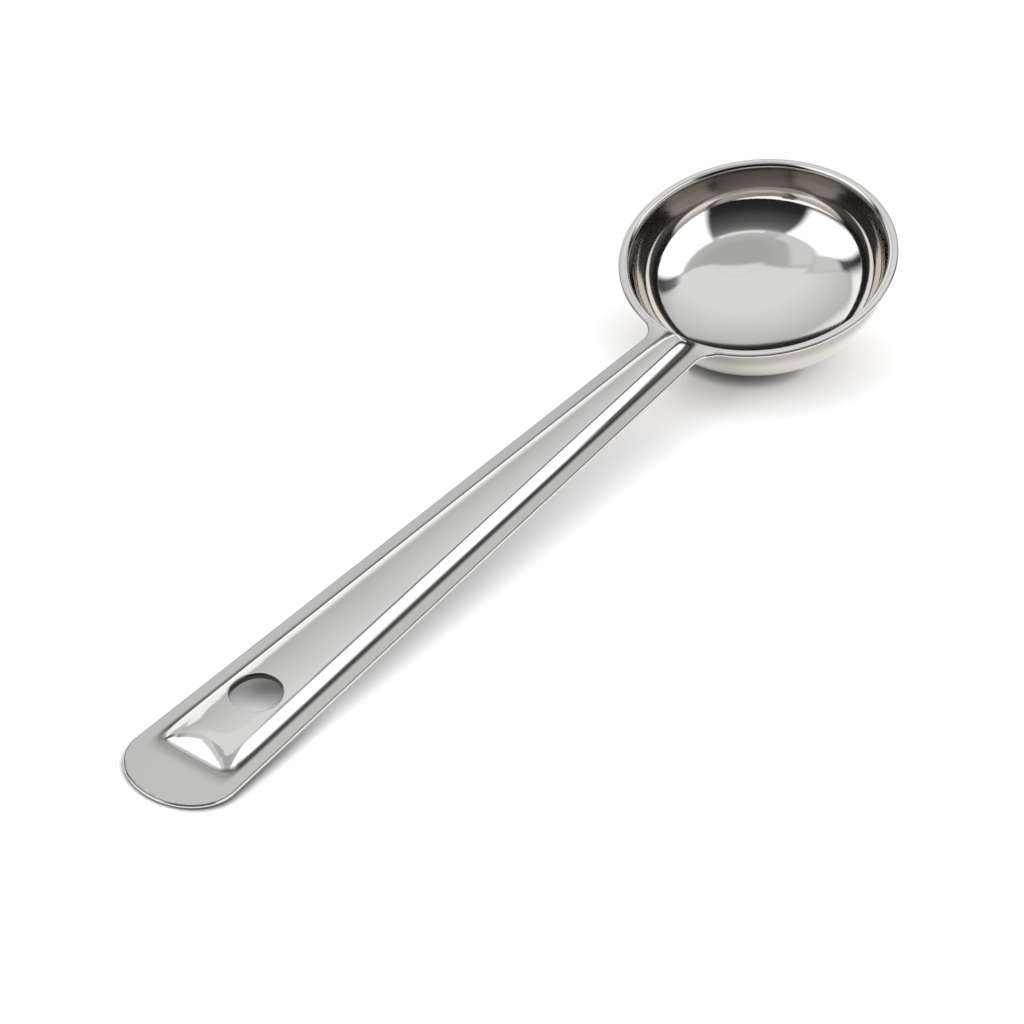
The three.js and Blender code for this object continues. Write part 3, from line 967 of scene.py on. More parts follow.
@dataclass(frozen=True)
class Handle:
    """The handle, one sheet with an embossed rib, a hang hole and an end that carries on the mouth's lip.

    Attributes:
        sheet: Its steel sheet.
        outline: Its flat outline.
        bowl: The bowl that it joins.
        rest: Lie of the ladle.
        flange_width: Flat flange beside the rib.
        rib_height: Height of the rib.
        crease_radius: Radius at the foot of the rib's flank.
        shoulder_radius: Radius at the top of the flank, by the neck.
        flank_angle: Slope of the flank.
        crown_angle: Slope of the crown where it meets the shoulder.
        nose_ledge: Ledge between the mouth and the rib's nose.
        shoulder_growth: How much larger the shoulder's radius is by the tail.
        growth_start: Place where it starts to grow.
        growth_length: Length over which it grows.
        nose_run: Length of the nose's slope.
        tail_setback: Distance of the tail's foot from the start of the tip.
        tail_bow: How far the tail's foot bows towards the bowl.
        tail_run: Length of the tail's slope.
        tail_power: Power that evens out the tail's slope, where 1 leaves it as round as the flank.
        hip_power: Power by which the rib's sides blend into its nose and its tail. A low one gives wide hips.
        hip_foot: Roundness of the hips at their foot.
        blend_angle: Angle of the brim over which its round fades into the flat flange.
        crease: Where the painted shade along the rib's foot starts outside it, is full, fades up the flank,
            and ends.
        neck_shade_widening: How much wider the painted shade in the crease is by the neck, as a share.
        neck_length: Length from the brim over which it gets narrower.
        tail_fade: Length before the tail's foot over which the painted shade gets less.
        tail_shade: Painted shade that is left at the tail's foot.
        flange_shade: Painted shade on the flange, a slight darkening.
        underside_shade: Painted shade on the underside.
        hollow_shade: Painted shade that the hollow of the rib has on top of that.
        hole_diameter: Hang hole.
        hole_from_tip: Distance of the hole from the tip.
        hole_lip: How far the hole's edge is turned down.
        hole_window: Half the length of the grid round the hole.
        hole_margin: Least distance of the columns beside the hole from the polish round its edge.
        round_length: Length over which the rows change from arcs to straight.
        bow_length: Length over which the rows change from straight to bowed.
        tail_reach: Length of the close rows by the tail, as a share of its slope.
        lip_power: Power of the closeness to the hole with which its edge comes down.
        ring_power: Power by which the rings are closer together by the hole.
        ring_rows: Rings round the hole.
        mouth_counts: Rows over the lip, over the fillet, and past it.
        taper_counts: Rows before the hole, beside it, after it and by the tail.
        tip_rows: Rows in the tip.
        flange_columns: Columns over the flange.
        flank_columns: Columns over the flank's foot, its straight part and its shoulder.
        crown_columns: Columns over half the crown.
    """

    sheet: Sheet
    outline: Outline
    bowl: Bowl
    rest: Rest
    flange_width: float = 4.1
    rib_height: float = 3.5
    crease_radius: float = 0.8
    shoulder_radius: float = 2.3
    flank_angle: float = 58.5
    crown_angle: float = 8.0
    nose_ledge: float = 0.35
    shoulder_growth: float = 4.0
    growth_start: float = 90.0
    growth_length: float = 155.0
    nose_run: float = 2.7
    tail_setback: float = 0.15
    tail_bow: float = 1.4
    tail_run: float = 8.0
    tail_power: float = 1.5
    hip_power: float = 2.1
    hip_foot: float = 2.2
    blend_angle: float = 8.0
    crease: tuple[float, float, float, float] = (-0.8, 0.1, 0.75, 0.92)
    neck_shade_widening: float = 0.6
    neck_length: float = 65.0
    tail_fade: float = 8.0
    tail_shade: float = 0.25
    flange_shade: float = 0.07
    underside_shade: float = 0.45
    hollow_shade: float = 0.55
    hole_diameter: float = 14.0
    hole_from_tip: float = 42.1
    hole_lip: float = 0.9
    hole_window: float = 11.0
    hole_margin: float = 0.7
    round_length: float = 28.0
    bow_length: float = 24.0
    tail_reach: float = 1.8
    lip_power: int = 3
    ring_power: float = 1.6
    ring_rows: int = 7
    mouth_counts: tuple[int, int, int] = (14, 16, 11)
    taper_counts: tuple[int, int, int, int] = (40, 27, 4, 84)
    tip_rows: int = 15
    flange_columns: int = 16
    flank_columns: tuple[int, int, int] = (6, 6, 13)
    crown_columns: int = 28

    @property
    def steep(self) -> float:
        """Slope of the flank in radians."""
        return math.radians(self.flank_angle)

    @property
    def gentle(self) -> float:
        """Slope of the crown's edge in radians."""
        return math.radians(self.crown_angle)

    @property
    def foot_run(self) -> float:
        """Width of the flank's round foot."""
        return self.crease_radius * math.sin(self.steep)

    @property
    def foot_rise(self) -> float:
        """Height of the flank's round foot."""
        return self.crease_radius * (1 - math.cos(self.steep))

    @property
    def shoulder_share(self) -> float:
        """Height of the shoulder's round over its radius."""
        return math.cos(self.gentle) - math.cos(self.steep)

    @property
    def neck_run(self) -> float:
        """Width of the whole flank by the neck."""
        return float(self.flank_run(np.array(self.shoulder_radius)))

    @property
    def nose_foot(self) -> float:
        """Distance of the nose's foot from the bowl's axis."""
        return self.bowl.mouth_radius + self.nose_ledge

    @property
    def tail_foot(self) -> float:
        """Place of the tail's foot at the edges of the handle."""
        return self.outline.tip_start - self.tail_setback

    @property
    def hole_place(self) -> np.ndarray:
        """Flat place of the hang hole's middle."""
        return np.array([self.outline.reach - self.hole_from_tip, 0.0])

    def rib_half(self, x: np.ndarray) -> np.ndarray:
        """Half the width of the rib at its foot."""
        return self.outline.half_width(x) - self.flange_width

    def shoulder(self, x: np.ndarray) -> np.ndarray:
        """Find the shoulder's radius, which grows with the square of the distance until it meets the foot.

        Args:
            x: Places along.

        Returns:
            Radii.
        """
        past = np.maximum(0, (x - self.growth_start) / self.growth_length)
        most = (self.rib_height - self.foot_rise) / self.shoulder_share
        return np.minimum(self.shoulder_radius + self.shoulder_growth * past**2, most)

    def straight_run(self, shoulder: np.ndarray) -> np.ndarray:
        """Width of the flank's straight part, which makes up the height between foot and shoulder."""
        return (self.rib_height - self.foot_rise - shoulder * self.shoulder_share) / math.tan(self.steep)

    def flank_run(self, shoulder: np.ndarray) -> np.ndarray:
        """Width of the whole flank."""
        top = shoulder * (math.sin(self.steep) - math.sin(self.gentle))
        return self.foot_run + self.straight_run(shoulder) + top

    def flank_height(self, inside: np.ndarray, shoulder: np.ndarray) -> np.ndarray:
        """Find the height of the flank at a distance in from its foot.

        A circle of the crease's radius, then a straight slope, then a circle of the shoulder's radius,
        then level.

        Args:
            inside: Distances in from the foot.
            shoulder: Radius of the shoulder there.

        Returns:
            Heights.
        """
        crease = self.crease_radius
        foot = crease - np.sqrt(np.maximum(0, crease**2 - np.clip(inside, 0, None) ** 2))
        slope = self.foot_rise + (inside - self.foot_run) * math.tan(self.steep)
        base = self.rib_height - shoulder * math.cos(self.gentle)
        run = self.flank_run(shoulder)
        from_middle = shoulder * math.sin(self.gentle) + run - inside
        top = base + np.sqrt(np.maximum(0, shoulder**2 - from_middle**2))
        on_slope = np.where(inside < self.foot_run + self.straight_run(shoulder), slope, top)
        height = np.where(inside < self.foot_run, foot, on_slope)
        return np.where(inside >= run, self.rib_height, height)

    def blended_lesser(self, a: np.ndarray, b: np.ndarray) -> np.ndarray:
        """Take the lesser of two distances, blended where they are alike.

        With f the hips' foot and p their power, it is ((a + f)^-p + (b + f)^-p)^(-1/p) - f.

        Args:
            a: Distances from one side.
            b: Distances from the other.

        Returns:
            Blended distances.
        """
        foot, power = self.hip_foot, self.hip_power
        least = np.minimum(a, b)
        near_a = np.maximum(a + foot, LEAST_DISTANCE)
        near_b = np.maximum(b + foot, LEAST_DISTANCE)
        blended = (near_a**-power + near_b**-power) ** (-1 / power) - foot
        return np.where(least > -foot, blended, least)

    def inside(self, x: np.ndarray, y: np.ndarray) -> np.ndarray:
        """Measure how far inside the rib's foot a place is, in distances across its side.

        It is the least of the distances from the sides, the nose and the tail, blended at the hips. Those
        from the nose and the tail are scaled so that their slopes are as long as they should be, and the
        tail's is raised to a power.

        Args:
            x: Places along.
            y: Places across.

        Returns:
            Distances, less than nothing on the flange.
        """
        bow = self.tail_bow * (1 - (y / self.outline.half_width(x)) ** 2)
        run = self.flank_run(self.shoulder(x))
        from_side = self.rib_half(x) - np.abs(y)
        from_nose = (np.hypot(x, y) - self.nose_foot) * run / self.nose_run
        down = (self.tail_foot - bow - x) / self.tail_run
        from_tail = run * np.sign(down) * np.abs(down) ** self.tail_power
        return self.blended_lesser(self.blended_lesser(from_side, from_nose), from_tail)

    def painted_shade(self, flat: np.ndarray) -> np.ndarray:
        """Find the painted shade on the upper face, darkest in the crease along the rib's foot.

        It rises from the flange's to a peak along the rib's foot and fades up the flank, further up
        by the neck. The peak falls in a straight line towards the tail.

        Args:
            flat: Flat places.

        Returns:
            Shares of painted shade.
        """
        x, y = flat[..., 0], flat[..., 1]
        inside = self.inside(x, y)
        # Painted shade in the crease along the rib's foot, fading up the flank
        start, full, waning, end = self.crease
        peak = np.interp(self.tail_foot - x, [0, self.tail_fade], [self.tail_shade, 1.0])
        risen = np.clip((inside - start) / (full - start), 0, 1)
        rising = self.flange_shade + (peak - self.flange_shade) * risen
        from_brim = x - self.outline.brim_radius
        wide = 1 + self.neck_shade_widening * np.clip(1 - from_brim / self.neck_length, 0, 1)
        return rising * np.interp(inside / wide, [waning, end], [1.0, 0.0])

    def painted_shade_beneath(self, flat: np.ndarray) -> np.ndarray:
        """Find the painted shade on the lower face, which darkens the underside and the rib's hollow.

        It is the underside's on the flange and rises up the flank, in a straight line, to the hollow's.

        Args:
            flat: Flat places.

        Returns:
            Shares of painted shade.
        """
        inside = self.inside(flat[..., 0], flat[..., 1])
        return self.underside_shade + self.hollow_shade * np.clip(inside / self.rib_height, 0, 1)

    def height(self, x: np.ndarray, y: np.ndarray) -> np.ndarray:
        """Find the height of the upper face over the flat sheet.

        The rib rises with the distance inside its foot, and its crown is a flat arc across. By the mouth
        the sheet goes down round the fold of the brim, and by the seams it takes on the round across the
        brim.

        Args:
            x: Places along.
            y: Places across.

        Returns:
            Heights.
        """
        shoulder = self.shoulder(x)
        rib = self.flank_height(self.inside(x, y), shoulder)
        crown_half = self.rib_half(x) - self.flank_run(shoulder)
        crown_radius = crown_half / math.sin(self.gentle)
        across = np.minimum(np.abs(y), crown_half)
        crown = np.sqrt(crown_radius**2 - across**2) - crown_radius * math.cos(self.gentle)
        reach = np.hypot(x, y)
        drop = self.bowl.fold_drop
        from_fold = np.clip(self.bowl.fold_reach - reach, 0, drop)
        fold = np.sqrt(drop**2 - from_fold**2) - drop
        from_seam = (self.outline.seam_angle - np.arctan2(np.abs(y), x)) / math.radians(self.blend_angle)
        blend = np.clip(1 - from_seam, 0, 1)
        brim = self.bowl.brim_drop(reach) * blend**2 * (3 - 2 * blend)
        return rib * (1 + crown / self.rib_height) + fold - brim

    def flank_steps(self) -> np.ndarray:
        """Space the columns over the neck's flank, even in angle round its foot and shoulder.

        Returns:
            Distances in from the foot.
        """
        low, middle, high = self.flank_columns
        foot = self.crease_radius * np.sin(np.linspace(0, self.steep, low))
        straight_end = self.foot_run + float(self.straight_run(np.array(self.shoulder_radius)))
        straight = np.linspace(self.foot_run, straight_end, middle)[1:-1]
        turn = np.linspace(self.steep, self.gentle, high)
        top = self.shoulder_radius * (np.sin(turn) - math.sin(self.gentle))
        return np.concatenate([foot, straight, self.neck_run - top])

    def flange_shares(self) -> np.ndarray:
        """Space the columns over the flange, even in angle round the tip.

        Returns:
            Shares of the flange's width, from the outside in.
        """
        least = float(self.rib_half(self.tail_foot) / (self.outline.tip_width / 2))
        turn = np.linspace(math.pi / 2, math.asin(least), self.flange_columns)[:-1]
        return (np.sin(turn) - least) / (1 - least)

    def across(self, half: np.ndarray, along: np.ndarray) -> np.ndarray:
        """Space the places across each row: flange, flank, crown, and the same mirrored.

        Args:
            half: Half width of each row.
            along: Place of each row along the handle.

        Returns:
            Places across, of shape (rows, columns).
        """
        rib = self.rib_half(along)[:, None]
        run = self.flank_run(self.shoulder(along))[:, None]
        flange = rib + (half[:, None] - rib) * self.flange_shares()
        flank = rib - self.flank_steps() / self.neck_run * run
        crown = (rib - run) * np.linspace(1, 0, self.crown_columns)[1:]
        left = np.concatenate([flange, flank, crown], axis=1)
        return np.concatenate([left, -left[:, -2::-1]], axis=1)

    def mouth_rows(self) -> tuple[np.ndarray, np.ndarray]:
        """Space the rows by the mouth.

        Arcs round the bowl's axis over the lip, the nose and the fillet, then rows that straighten with
        the distance past the fillet.

        Returns:
            Distance of each row from the axis, and its roundness from 1 to 0.
        """
        edge = self.sheet.rounding
        end = math.pi / 2 - self.bowl.lean - self.bowl.hairline / self.bowl.fold_drop
        lip_rows, fillet_rows, round_rows = self.mouth_counts
        lip = self.bowl.fold_reach - self.bowl.fold_drop * np.sin(np.linspace(end, 0, lip_rows))
        nose = self.nose_foot + self.flank_steps() * self.nose_run / self.neck_run
        fillet_end = self.outline.fillet_reach(edge)
        fillet = np.linspace(nose[-1], fillet_end, fillet_rows)[1:]
        brim = [self.outline.brim_radius - edge]
        arcs = np.unique(np.round(np.concatenate([lip, nose, brim, fillet]), ROW_DECIMALS))
        share = np.linspace(0, 1, round_rows)[1:]
        reach = np.concatenate([arcs, fillet_end + self.round_length * share])
        return reach, np.concatenate([np.ones(len(arcs)), 1 - share])

    def taper_rows(self, start: float) -> np.ndarray:
        """Space the rows along the taper: wide to the hole, close beside it and down the tail.

        Args:
            start: Place of the last row by the mouth.

        Returns:
            Places along.
        """
        hole = self.hole_place[0]
        corner_top = self.tail_foot - self.tail_reach * self.tail_run
        ends = [start, hole - self.hole_window, hole + self.hole_window, corner_top, self.tail_foot]
        spans = zip(ends[:-1], ends[1:], self.taper_counts)
        return np.concatenate([np.linspace(first, last, count)[1:] for first, last, count in spans])

    def grid(self) -> tuple[np.ndarray, int, tuple[int, int]]:
        """Lay the flat grid of the handle, an edge's rounding in from its outline.

        Rows run across: arcs by the mouth, straight lines along the taper, bowed lines by the tail, and
        in the tip lines that go from the tail's foot to the ellipse of the tip.

        Returns:
            The grid of flat places, the row that holds the brim's edge, and the first and last row beside
            the hole.
        """
        edge = self.sheet.rounding
        reach, roundness = self.mouth_rows()
        edge_x, edge_y = self.outline.edge_at(reach, edge)
        mouth_y = self.across(edge_y, edge_x)
        ring = np.sqrt(reach[:, None] ** 2 - mouth_y**2)
        mouth_x = edge_x[:, None] + roundness[:, None] * (ring - edge_x[:, None])

        along = self.taper_rows(float(edge_x[-1]))
        half = self.outline.half_width(along) - edge
        taper_y = self.across(half, along)
        tail_top = self.tail_foot - self.tail_run
        rise = np.clip((along - tail_top + self.bow_length) / self.bow_length, 0, 1)
        bow = self.tail_bow * rise**2 * (3 - 2 * rise)
        taper_x = along[:, None] - bow[:, None] * (1 - (taper_y / half[:, None]) ** 2)

        share = np.linspace(0, 1, self.tip_rows)[1:]
        tip_half = half[-1] + (self.outline.tip_width / 2 - edge - half[-1]) * share
        tip_y = self.across(tip_half, np.full(len(share), self.tail_foot))
        level = 1 - (tip_y / tip_half[:, None]) ** 2
        low = self.tail_foot - self.tail_bow * level
        high = self.outline.tip_start + (self.outline.tip_round - edge) * np.sqrt(np.maximum(0, level))
        tip_x = low + (high - low) * share[:, None]

        x = np.concatenate([mouth_x, taper_x, tip_x])
        y = np.concatenate([mouth_y, taper_y, tip_y])
        corner = int(np.argmin(np.abs(reach - self.outline.brim_radius + edge)))
        first = len(reach) + int(np.argmin(np.abs(along - self.hole_place[0] + self.hole_window)))
        last = len(reach) + int(np.argmin(np.abs(along - self.hole_place[0] - self.hole_window)))
        return np.stack([x, y], axis=-1), corner, (first, last)

    def hole_column(self, grid: np.ndarray) -> int:
        """Find the column beside the hole: the last that stays clear of it and of the polish round its edge.

        Args:
            grid: Flat places of the whole handle.

        Returns:
            Number of the column.
        """
        row = int(np.argmin(np.abs(grid[:, grid.shape[1] // 2, 0] - self.hole_place[0])))
        clear = self.hole_diameter / 2 + self.sheet.rounding + self.hole_margin
        return int(np.count_nonzero(grid[row, :, 1] > clear)) - 1

    def hole_grid(self, window: np.ndarray) -> np.ndarray:
        """Fill a window of the grid with rings round the hole.

        Each ring lies between the circle of the hole and the border of the window, closer together by the
        hole.

        Args:
            window: Flat places of the window.

        Returns:
            Flat places, the first row on the circle, the last on the border.
        """
        border = np.concatenate([window[0, :-1], window[:-1, -1], window[-1, :0:-1], window[::-1, 0]])
        spoke = border - self.hole_place
        radius = self.hole_diameter / 2 + self.sheet.rounding
        circle = self.hole_place + spoke / np.linalg.norm(spoke, axis=-1, keepdims=True) * radius
        share = (np.linspace(0, 1, self.ring_rows) ** self.ring_power)[:, None, None]
        return circle + (border - circle) * share

    def patches(self) -> tuple[list[np.ndarray], list[np.ndarray]]:
        """Make the faces and edges of the sheet.

        Round the hole the lower face comes down with a power of the closeness, to the lip's depth at its
        edge.

        Returns:
            Grids of points of the upright pressing, and the painted shade of each.
        """
        grid, corner, (first, last) = self.grid()
        left = self.hole_column(grid)
        right = grid.shape[1] - 1 - left
        rings = self.hole_grid(grid[first : last + 1, left : right + 1])
        beside = [grid[first : last + 1, : left + 1], grid[first : last + 1, right:]]
        flats = [rings, grid[: first + 1], *beside, grid[last:]]
        patches = self.sheet.faces(self.height, flats)
        turned = np.linspace(1, 0, len(rings))[:, None] ** self.lip_power
        patches[1][..., 2] -= self.hole_lip * turned
        # Painted shade: a dark crease on the upper faces, a dark underside and hollow on the lower ones
        painted_shade = unshaded(patches)
        painted_shade[::2] = [self.painted_shade(flat) for flat in flats]
        painted_shade[1::2] = [self.painted_shade_beneath(flat) for flat in flats]

        seam_out = grid[: corner + 1, 0]
        seam_back = grid[corner::-1, -1]
        rim = np.concatenate([grid[corner:, 0], grid[-1, 1:], grid[-2 : corner - 1 : -1, -1]])
        mouth = grid[0, -2::-1]
        loop = np.concatenate([seam_out, rim, seam_back, mouth])
        tangent = np.gradient(rim, axis=0)
        sides = np.stack([-tangent[:, 1], tangent[:, 0]], axis=-1)
        sides = sides / np.linalg.norm(sides, axis=-1, keepdims=True)
        outward = np.concatenate([seam_out, sides, seam_back, mouth])
        edge = self.sheet.rounding
        lengths = [len(seam_out), len(rim), len(seam_back) + len(mouth)]
        rounding = np.repeat([0.0, edge, 0.0], lengths)
        patches.append(self.sheet.edge(self.height, loop, outward, rounding))

        inward = self.hole_place - rings[0]
        bore = self.sheet.edge(self.height, rings[0], inward, np.full(len(inward), edge))
        bore[len(bore) // 2 :, :, 2] -= self.hole_lip
        patches.append(bore)
        # Painted shade over the outer edge and down the wall of the hang hole
        painted_shade.append(np.repeat(np.array(self.sheet.rim_shade)[:, None], len(loop), axis=1))
        painted_shade.append(np.repeat(np.array(self.sheet.bore_shade)[:, None], len(rings[0]), axis=1))
        return [self.outline.bent(patch) for patch in patches], painted_shade

    def build(self, finish: PolishedSteel) -> bpy.types.Object:
        """Build and dress the handle.

        Args:
            finish: Its steel.

        Returns:
            The piece.
        """
        patches, painted_shade = self.patches()
        piece = mesh_object("ladle_handle", [self.rest.placed(patch) for patch in patches], painted_shade)
        piece.data.materials.append(finish.material(self.rest))
        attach(piece, BODY)
        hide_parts("handle")
        return piece


@dataclass(frozen=True)
class PlugWelds:
    """The four plug welds that hold the tongue under the handle.

    Attributes:
        bowl: The bowl, whose tongue they hold.
        handle: The handle, whose flange they sit under.
        shank: Diameter of the weld in the tongue.
        head: Diameter of its head.
        head_height: Height of its head.
        margin: Distance of the welds from the brim and from the tongue's end.
        dome_rows: Rows over the dome of the head.
        facets: Facets round a weld.
    """

    bowl: Bowl
    handle: Handle
    shank: float = 1.8
    head: float = 3.0
    head_height: float = 0.8
    margin: float = 5.0
    dome_rows: int = 12
    facets: int = 36

    def places(self) -> np.ndarray:
        """Find the flat places of the welds, two on each side of the rib.

        Returns:
            Places of shape (4, 2).
        """
        outline = self.handle.outline
        x = np.array([outline.brim_radius + self.margin, self.bowl.tongue_reach - self.margin] * 2)
        hand = np.array([1, 1, -1, -1])
        y = hand * (outline.half_width(x) - (self.handle.flange_width + self.bowl.tongue_inset) / 2)
        return np.stack([x, y], axis=-1)

    def profile(self) -> np.ndarray:
        """Draw half a weld: a low dome, its rim against the tongue, and the shank up to the handle.

        The dome is the arc of the circle through its rim and its pole.

        Returns:
            Places out from the weld's axis and up.
        """
        rim = self.head / 2
        sheet = self.bowl.sheet
        under = -sheet.seat - sheet.thickness
        dome = (rim**2 + self.head_height**2) / (2 * self.head_height)
        turn = np.linspace(0, math.asin(rim / dome), self.dome_rows)
        arc = np.stack([dome * np.sin(turn), under - self.head_height + dome * (1 - np.cos(turn))], axis=-1)
        top = -sheet.thickness
        return np.concatenate([arc, [[self.shank / 2, under], [self.shank / 2, top], [0, top]]])

    def build(self, finish: WeldSteel) -> list[bpy.types.Object]:
        """Build and dress the welds, each the profile turned about its own axis.

        Args:
            finish: Their steel.

        Returns:
            The pieces.
        """
        material = finish.material()
        profile = self.profile()
        angle = np.linspace(0, 2 * math.pi, self.facets + 1)
        pieces = []
        for number, place in enumerate(self.places(), start=1):
            x = place[0] + profile[:, :1] * np.cos(angle)
            y = place[1] + profile[:, :1] * np.sin(angle)
            z = np.broadcast_to(profile[:, 1:], x.shape)
            weld = self.handle.outline.bent(np.stack([x, y, z], axis=-1))
            placed = self.handle.rest.placed(weld)
            piece = mesh_object(f"ladle_plug_weld_{number}", [placed], unshaded([weld]))
            piece.data.materials.append(material)
            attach(piece, BODY)
            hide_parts(f"plug_weld_{number}")
            pieces.append(piece)
        return pieces


@dataclass(frozen=True)
class LightWindow:
    """A lit part of the studio round the table, as directions seen from the ladle.

    Attributes:
        azimuth: First and last azimuth, from +X towards +Y.
        elevation: Lowest and highest elevation.
        blur: Width of its soft edges.
        fade: Elevations between which its brightness changes.
        radiance: Its brightness below and above that, where 1 is white.
    """

    azimuth: tuple[float, float]
    elevation: tuple[float, float]
    blur: float
    fade: tuple[float, float]
    radiance: tuple[float, float]

    def mask(
        self, tree: bpy.types.NodeTree, azimuth: bpy.types.NodeSocket, elevation: bpy.types.NodeSocket
    ) -> bpy.types.NodeSocket:
        """Draw the window: its brightness, which fades with the elevation, times soft steps at its edges.

        Args:
            tree: Node tree of the world.
            azimuth: Azimuth in radians.
            elevation: Elevation in radians.

        Returns:
            Its brightness in each direction.
        """
        soft = math.radians(self.blur) / 2
        fade = (math.radians(self.fade[0]), math.radians(self.fade[1]))
        level = add_range(tree, elevation, fade, self.radiance)
        for angle, (low, high) in ((azimuth, self.azimuth), (elevation, self.elevation)):
            for limit, ends in ((math.radians(low), (0.0, 1.0)), (math.radians(high), (1.0, 0.0))):
                step = add_range(tree, angle, (limit - soft, limit + soft), ends, "SMOOTHSTEP")
                level = add_math(tree, "MULTIPLY", step, level)
        return level


@dataclass(frozen=True)
class Studio:
    """The white table, the studio round it and the camera.

    Attributes:
        table_size: Side of the table, in metres.
        table_colour: Colour of the table.
        table_lift: Light that the camera adds to the table, where 1 is white.
        mirrored_lift: Light that mirrors add to it.
        contact_shadow_reach: Reach of the painted contact shadow, the distance below which the ladle darkens
            the paper's colour, in millimetres.
        light_colour: Colour of the studio's light.
        fill: How much more the studio lights the table than the steel shows of it.
        windows: Lit parts of the studio.
        ceiling: Brightness of the lit ceiling.
        ceiling_azimuth: Azimuth of the ceiling's far side.
        ceiling_edge: Reach towards that side between which its near edge fades in, where 1 is level.
        ceiling_span: Elevations between which it fades in.
        room: Brightness of the room behind them, as pairs of an elevation and a level.
        focal_pixels: Focal length over the size of a pixel.
        azimuth: Camera's azimuth.
        elevation: Camera's elevation.
        distance: Camera's distance from its target, in millimetres.
        roll: Camera's roll.
        target: Point that the camera looks at, in millimetres.
    """

    table_size: float = 30.0
    table_colour: str = "F3F3F3"
    table_lift: float = 0.04
    mirrored_lift: float = 0.26
    contact_shadow_reach: float = 4.0
    light_colour: str = "F5FAFF"
    fill: float = 1.42
    windows: tuple[LightWindow, ...] = (
        LightWindow((-18.0, 100.0), (20.0, 83.0), 8.0, (35.0, 60.0), (0.78, 1.14)),
        LightWindow((-32.0, 106.0), (58.0, 83.0), 8.0, (0.0, 90.0), (1.14, 1.14)),
        LightWindow((-18.0, 100.0), (-20.0, 35.0), 14.0, (0.0, 90.0), (1.45, 1.45)),
        LightWindow((-105.0, -33.0), (5.0, 62.0), 9.0, (0.0, 90.0), (1.9, 1.9)),
        LightWindow((112.0, 168.0), (4.0, 58.0), 9.0, (0.0, 90.0), (1.9, 1.9)),
        LightWindow((105.0, 168.0), (56.0, 70.0), 8.0, (0.0, 90.0), (1.0, 1.0)),
        LightWindow((96.0, 116.0), (42.0, 61.0), 9.0, (0.0, 90.0), (0.92, 0.92)),
        LightWindow((-172.0, -112.0), (57.0, 63.0), 5.0, (0.0, 90.0), (1.25, 1.25)),
    )
    ceiling: float = 1.14
    ceiling_azimuth: float = 41.0
    ceiling_edge: tuple[float, float] = (0.02, 0.08)
    ceiling_span: tuple[float, float] = (70.0, 82.0)
    room: tuple[tuple[float, float], ...] = (
        (0.0, 0.02),
        (18.0, 0.04),
        (40.0, 0.13),
        (50.0, 0.22),
        (55.0, 0.34),
        (59.0, 0.85),
        (66.0, 0.74),
        (78.0, 0.64),
    )
    focal_pixels: float = 3463.906
    azimuth: float = -54.0864
    elevation: float = 37.0468
    distance: float = 973.320
    roll: float = 2.0859
    target: tuple[float, float, float] = (-2.4869, 1.5042, 0.0)

    def paper(self) -> bpy.types.Material:
        """Make the matt white paper, with a painted contact shadow close to the ladle, and lighter where it
        is seen or mirrored.

        Returns:
            The material.
        """
        material = new_material("matt_white_paper")
        tree = material.node_tree
        # Painted contact shadow: ambient occlusion darkens the paper's colour close to the ladle
        shaded = add_node(
            tree,
            "ShaderNodeAmbientOcclusion",
            {},
            {"Color": linear_colour(self.table_colour), "Distance": self.contact_shadow_reach * MM},
        ).outputs["Color"]
        matt = add_node(tree, "ShaderNodeBsdfDiffuse", {}, {"Color": shaded}).outputs["BSDF"]
        path = add_node(tree, "ShaderNodeLightPath", {}, {})
        seen = add_math(tree, "MULTIPLY", path.outputs["Is Camera Ray"], self.table_lift)
        direct = add_math(tree, "LESS_THAN", path.outputs["Diffuse Depth"], HALF_BOUNCE)
        mirrored = add_math(tree, "MULTIPLY", path.outputs["Is Glossy Ray"], direct)
        lift = add_math(tree, "MULTIPLY_ADD", mirrored, self.mirrored_lift, seen)
        glowing = {"Color": WHITE, "Strength": lift}
        glow = add_node(tree, "ShaderNodeEmission", {}, glowing).outputs["Emission"]
        both = add_node(tree, "ShaderNodeAddShader", {}, {0: matt, 1: glow}).outputs["Shader"]
        add_node(tree, "ShaderNodeOutputMaterial", {}, {"Surface": both})
        return material

    def lay_table(self) -> bpy.types.Object:
        """Lay the table, a wide level sheet of paper.

        Returns:
            The stage piece.
        """
        side = np.linspace(-self.table_size / 2, self.table_size / 2, 2)
        x, y = np.meshgrid(side, side)
        sheet = np.stack([x, y, np.zeros_like(x)], axis=-1)
        table = mesh_object("table", [sheet], unshaded([sheet]))
        table.data.materials.append(self.paper())
        return table

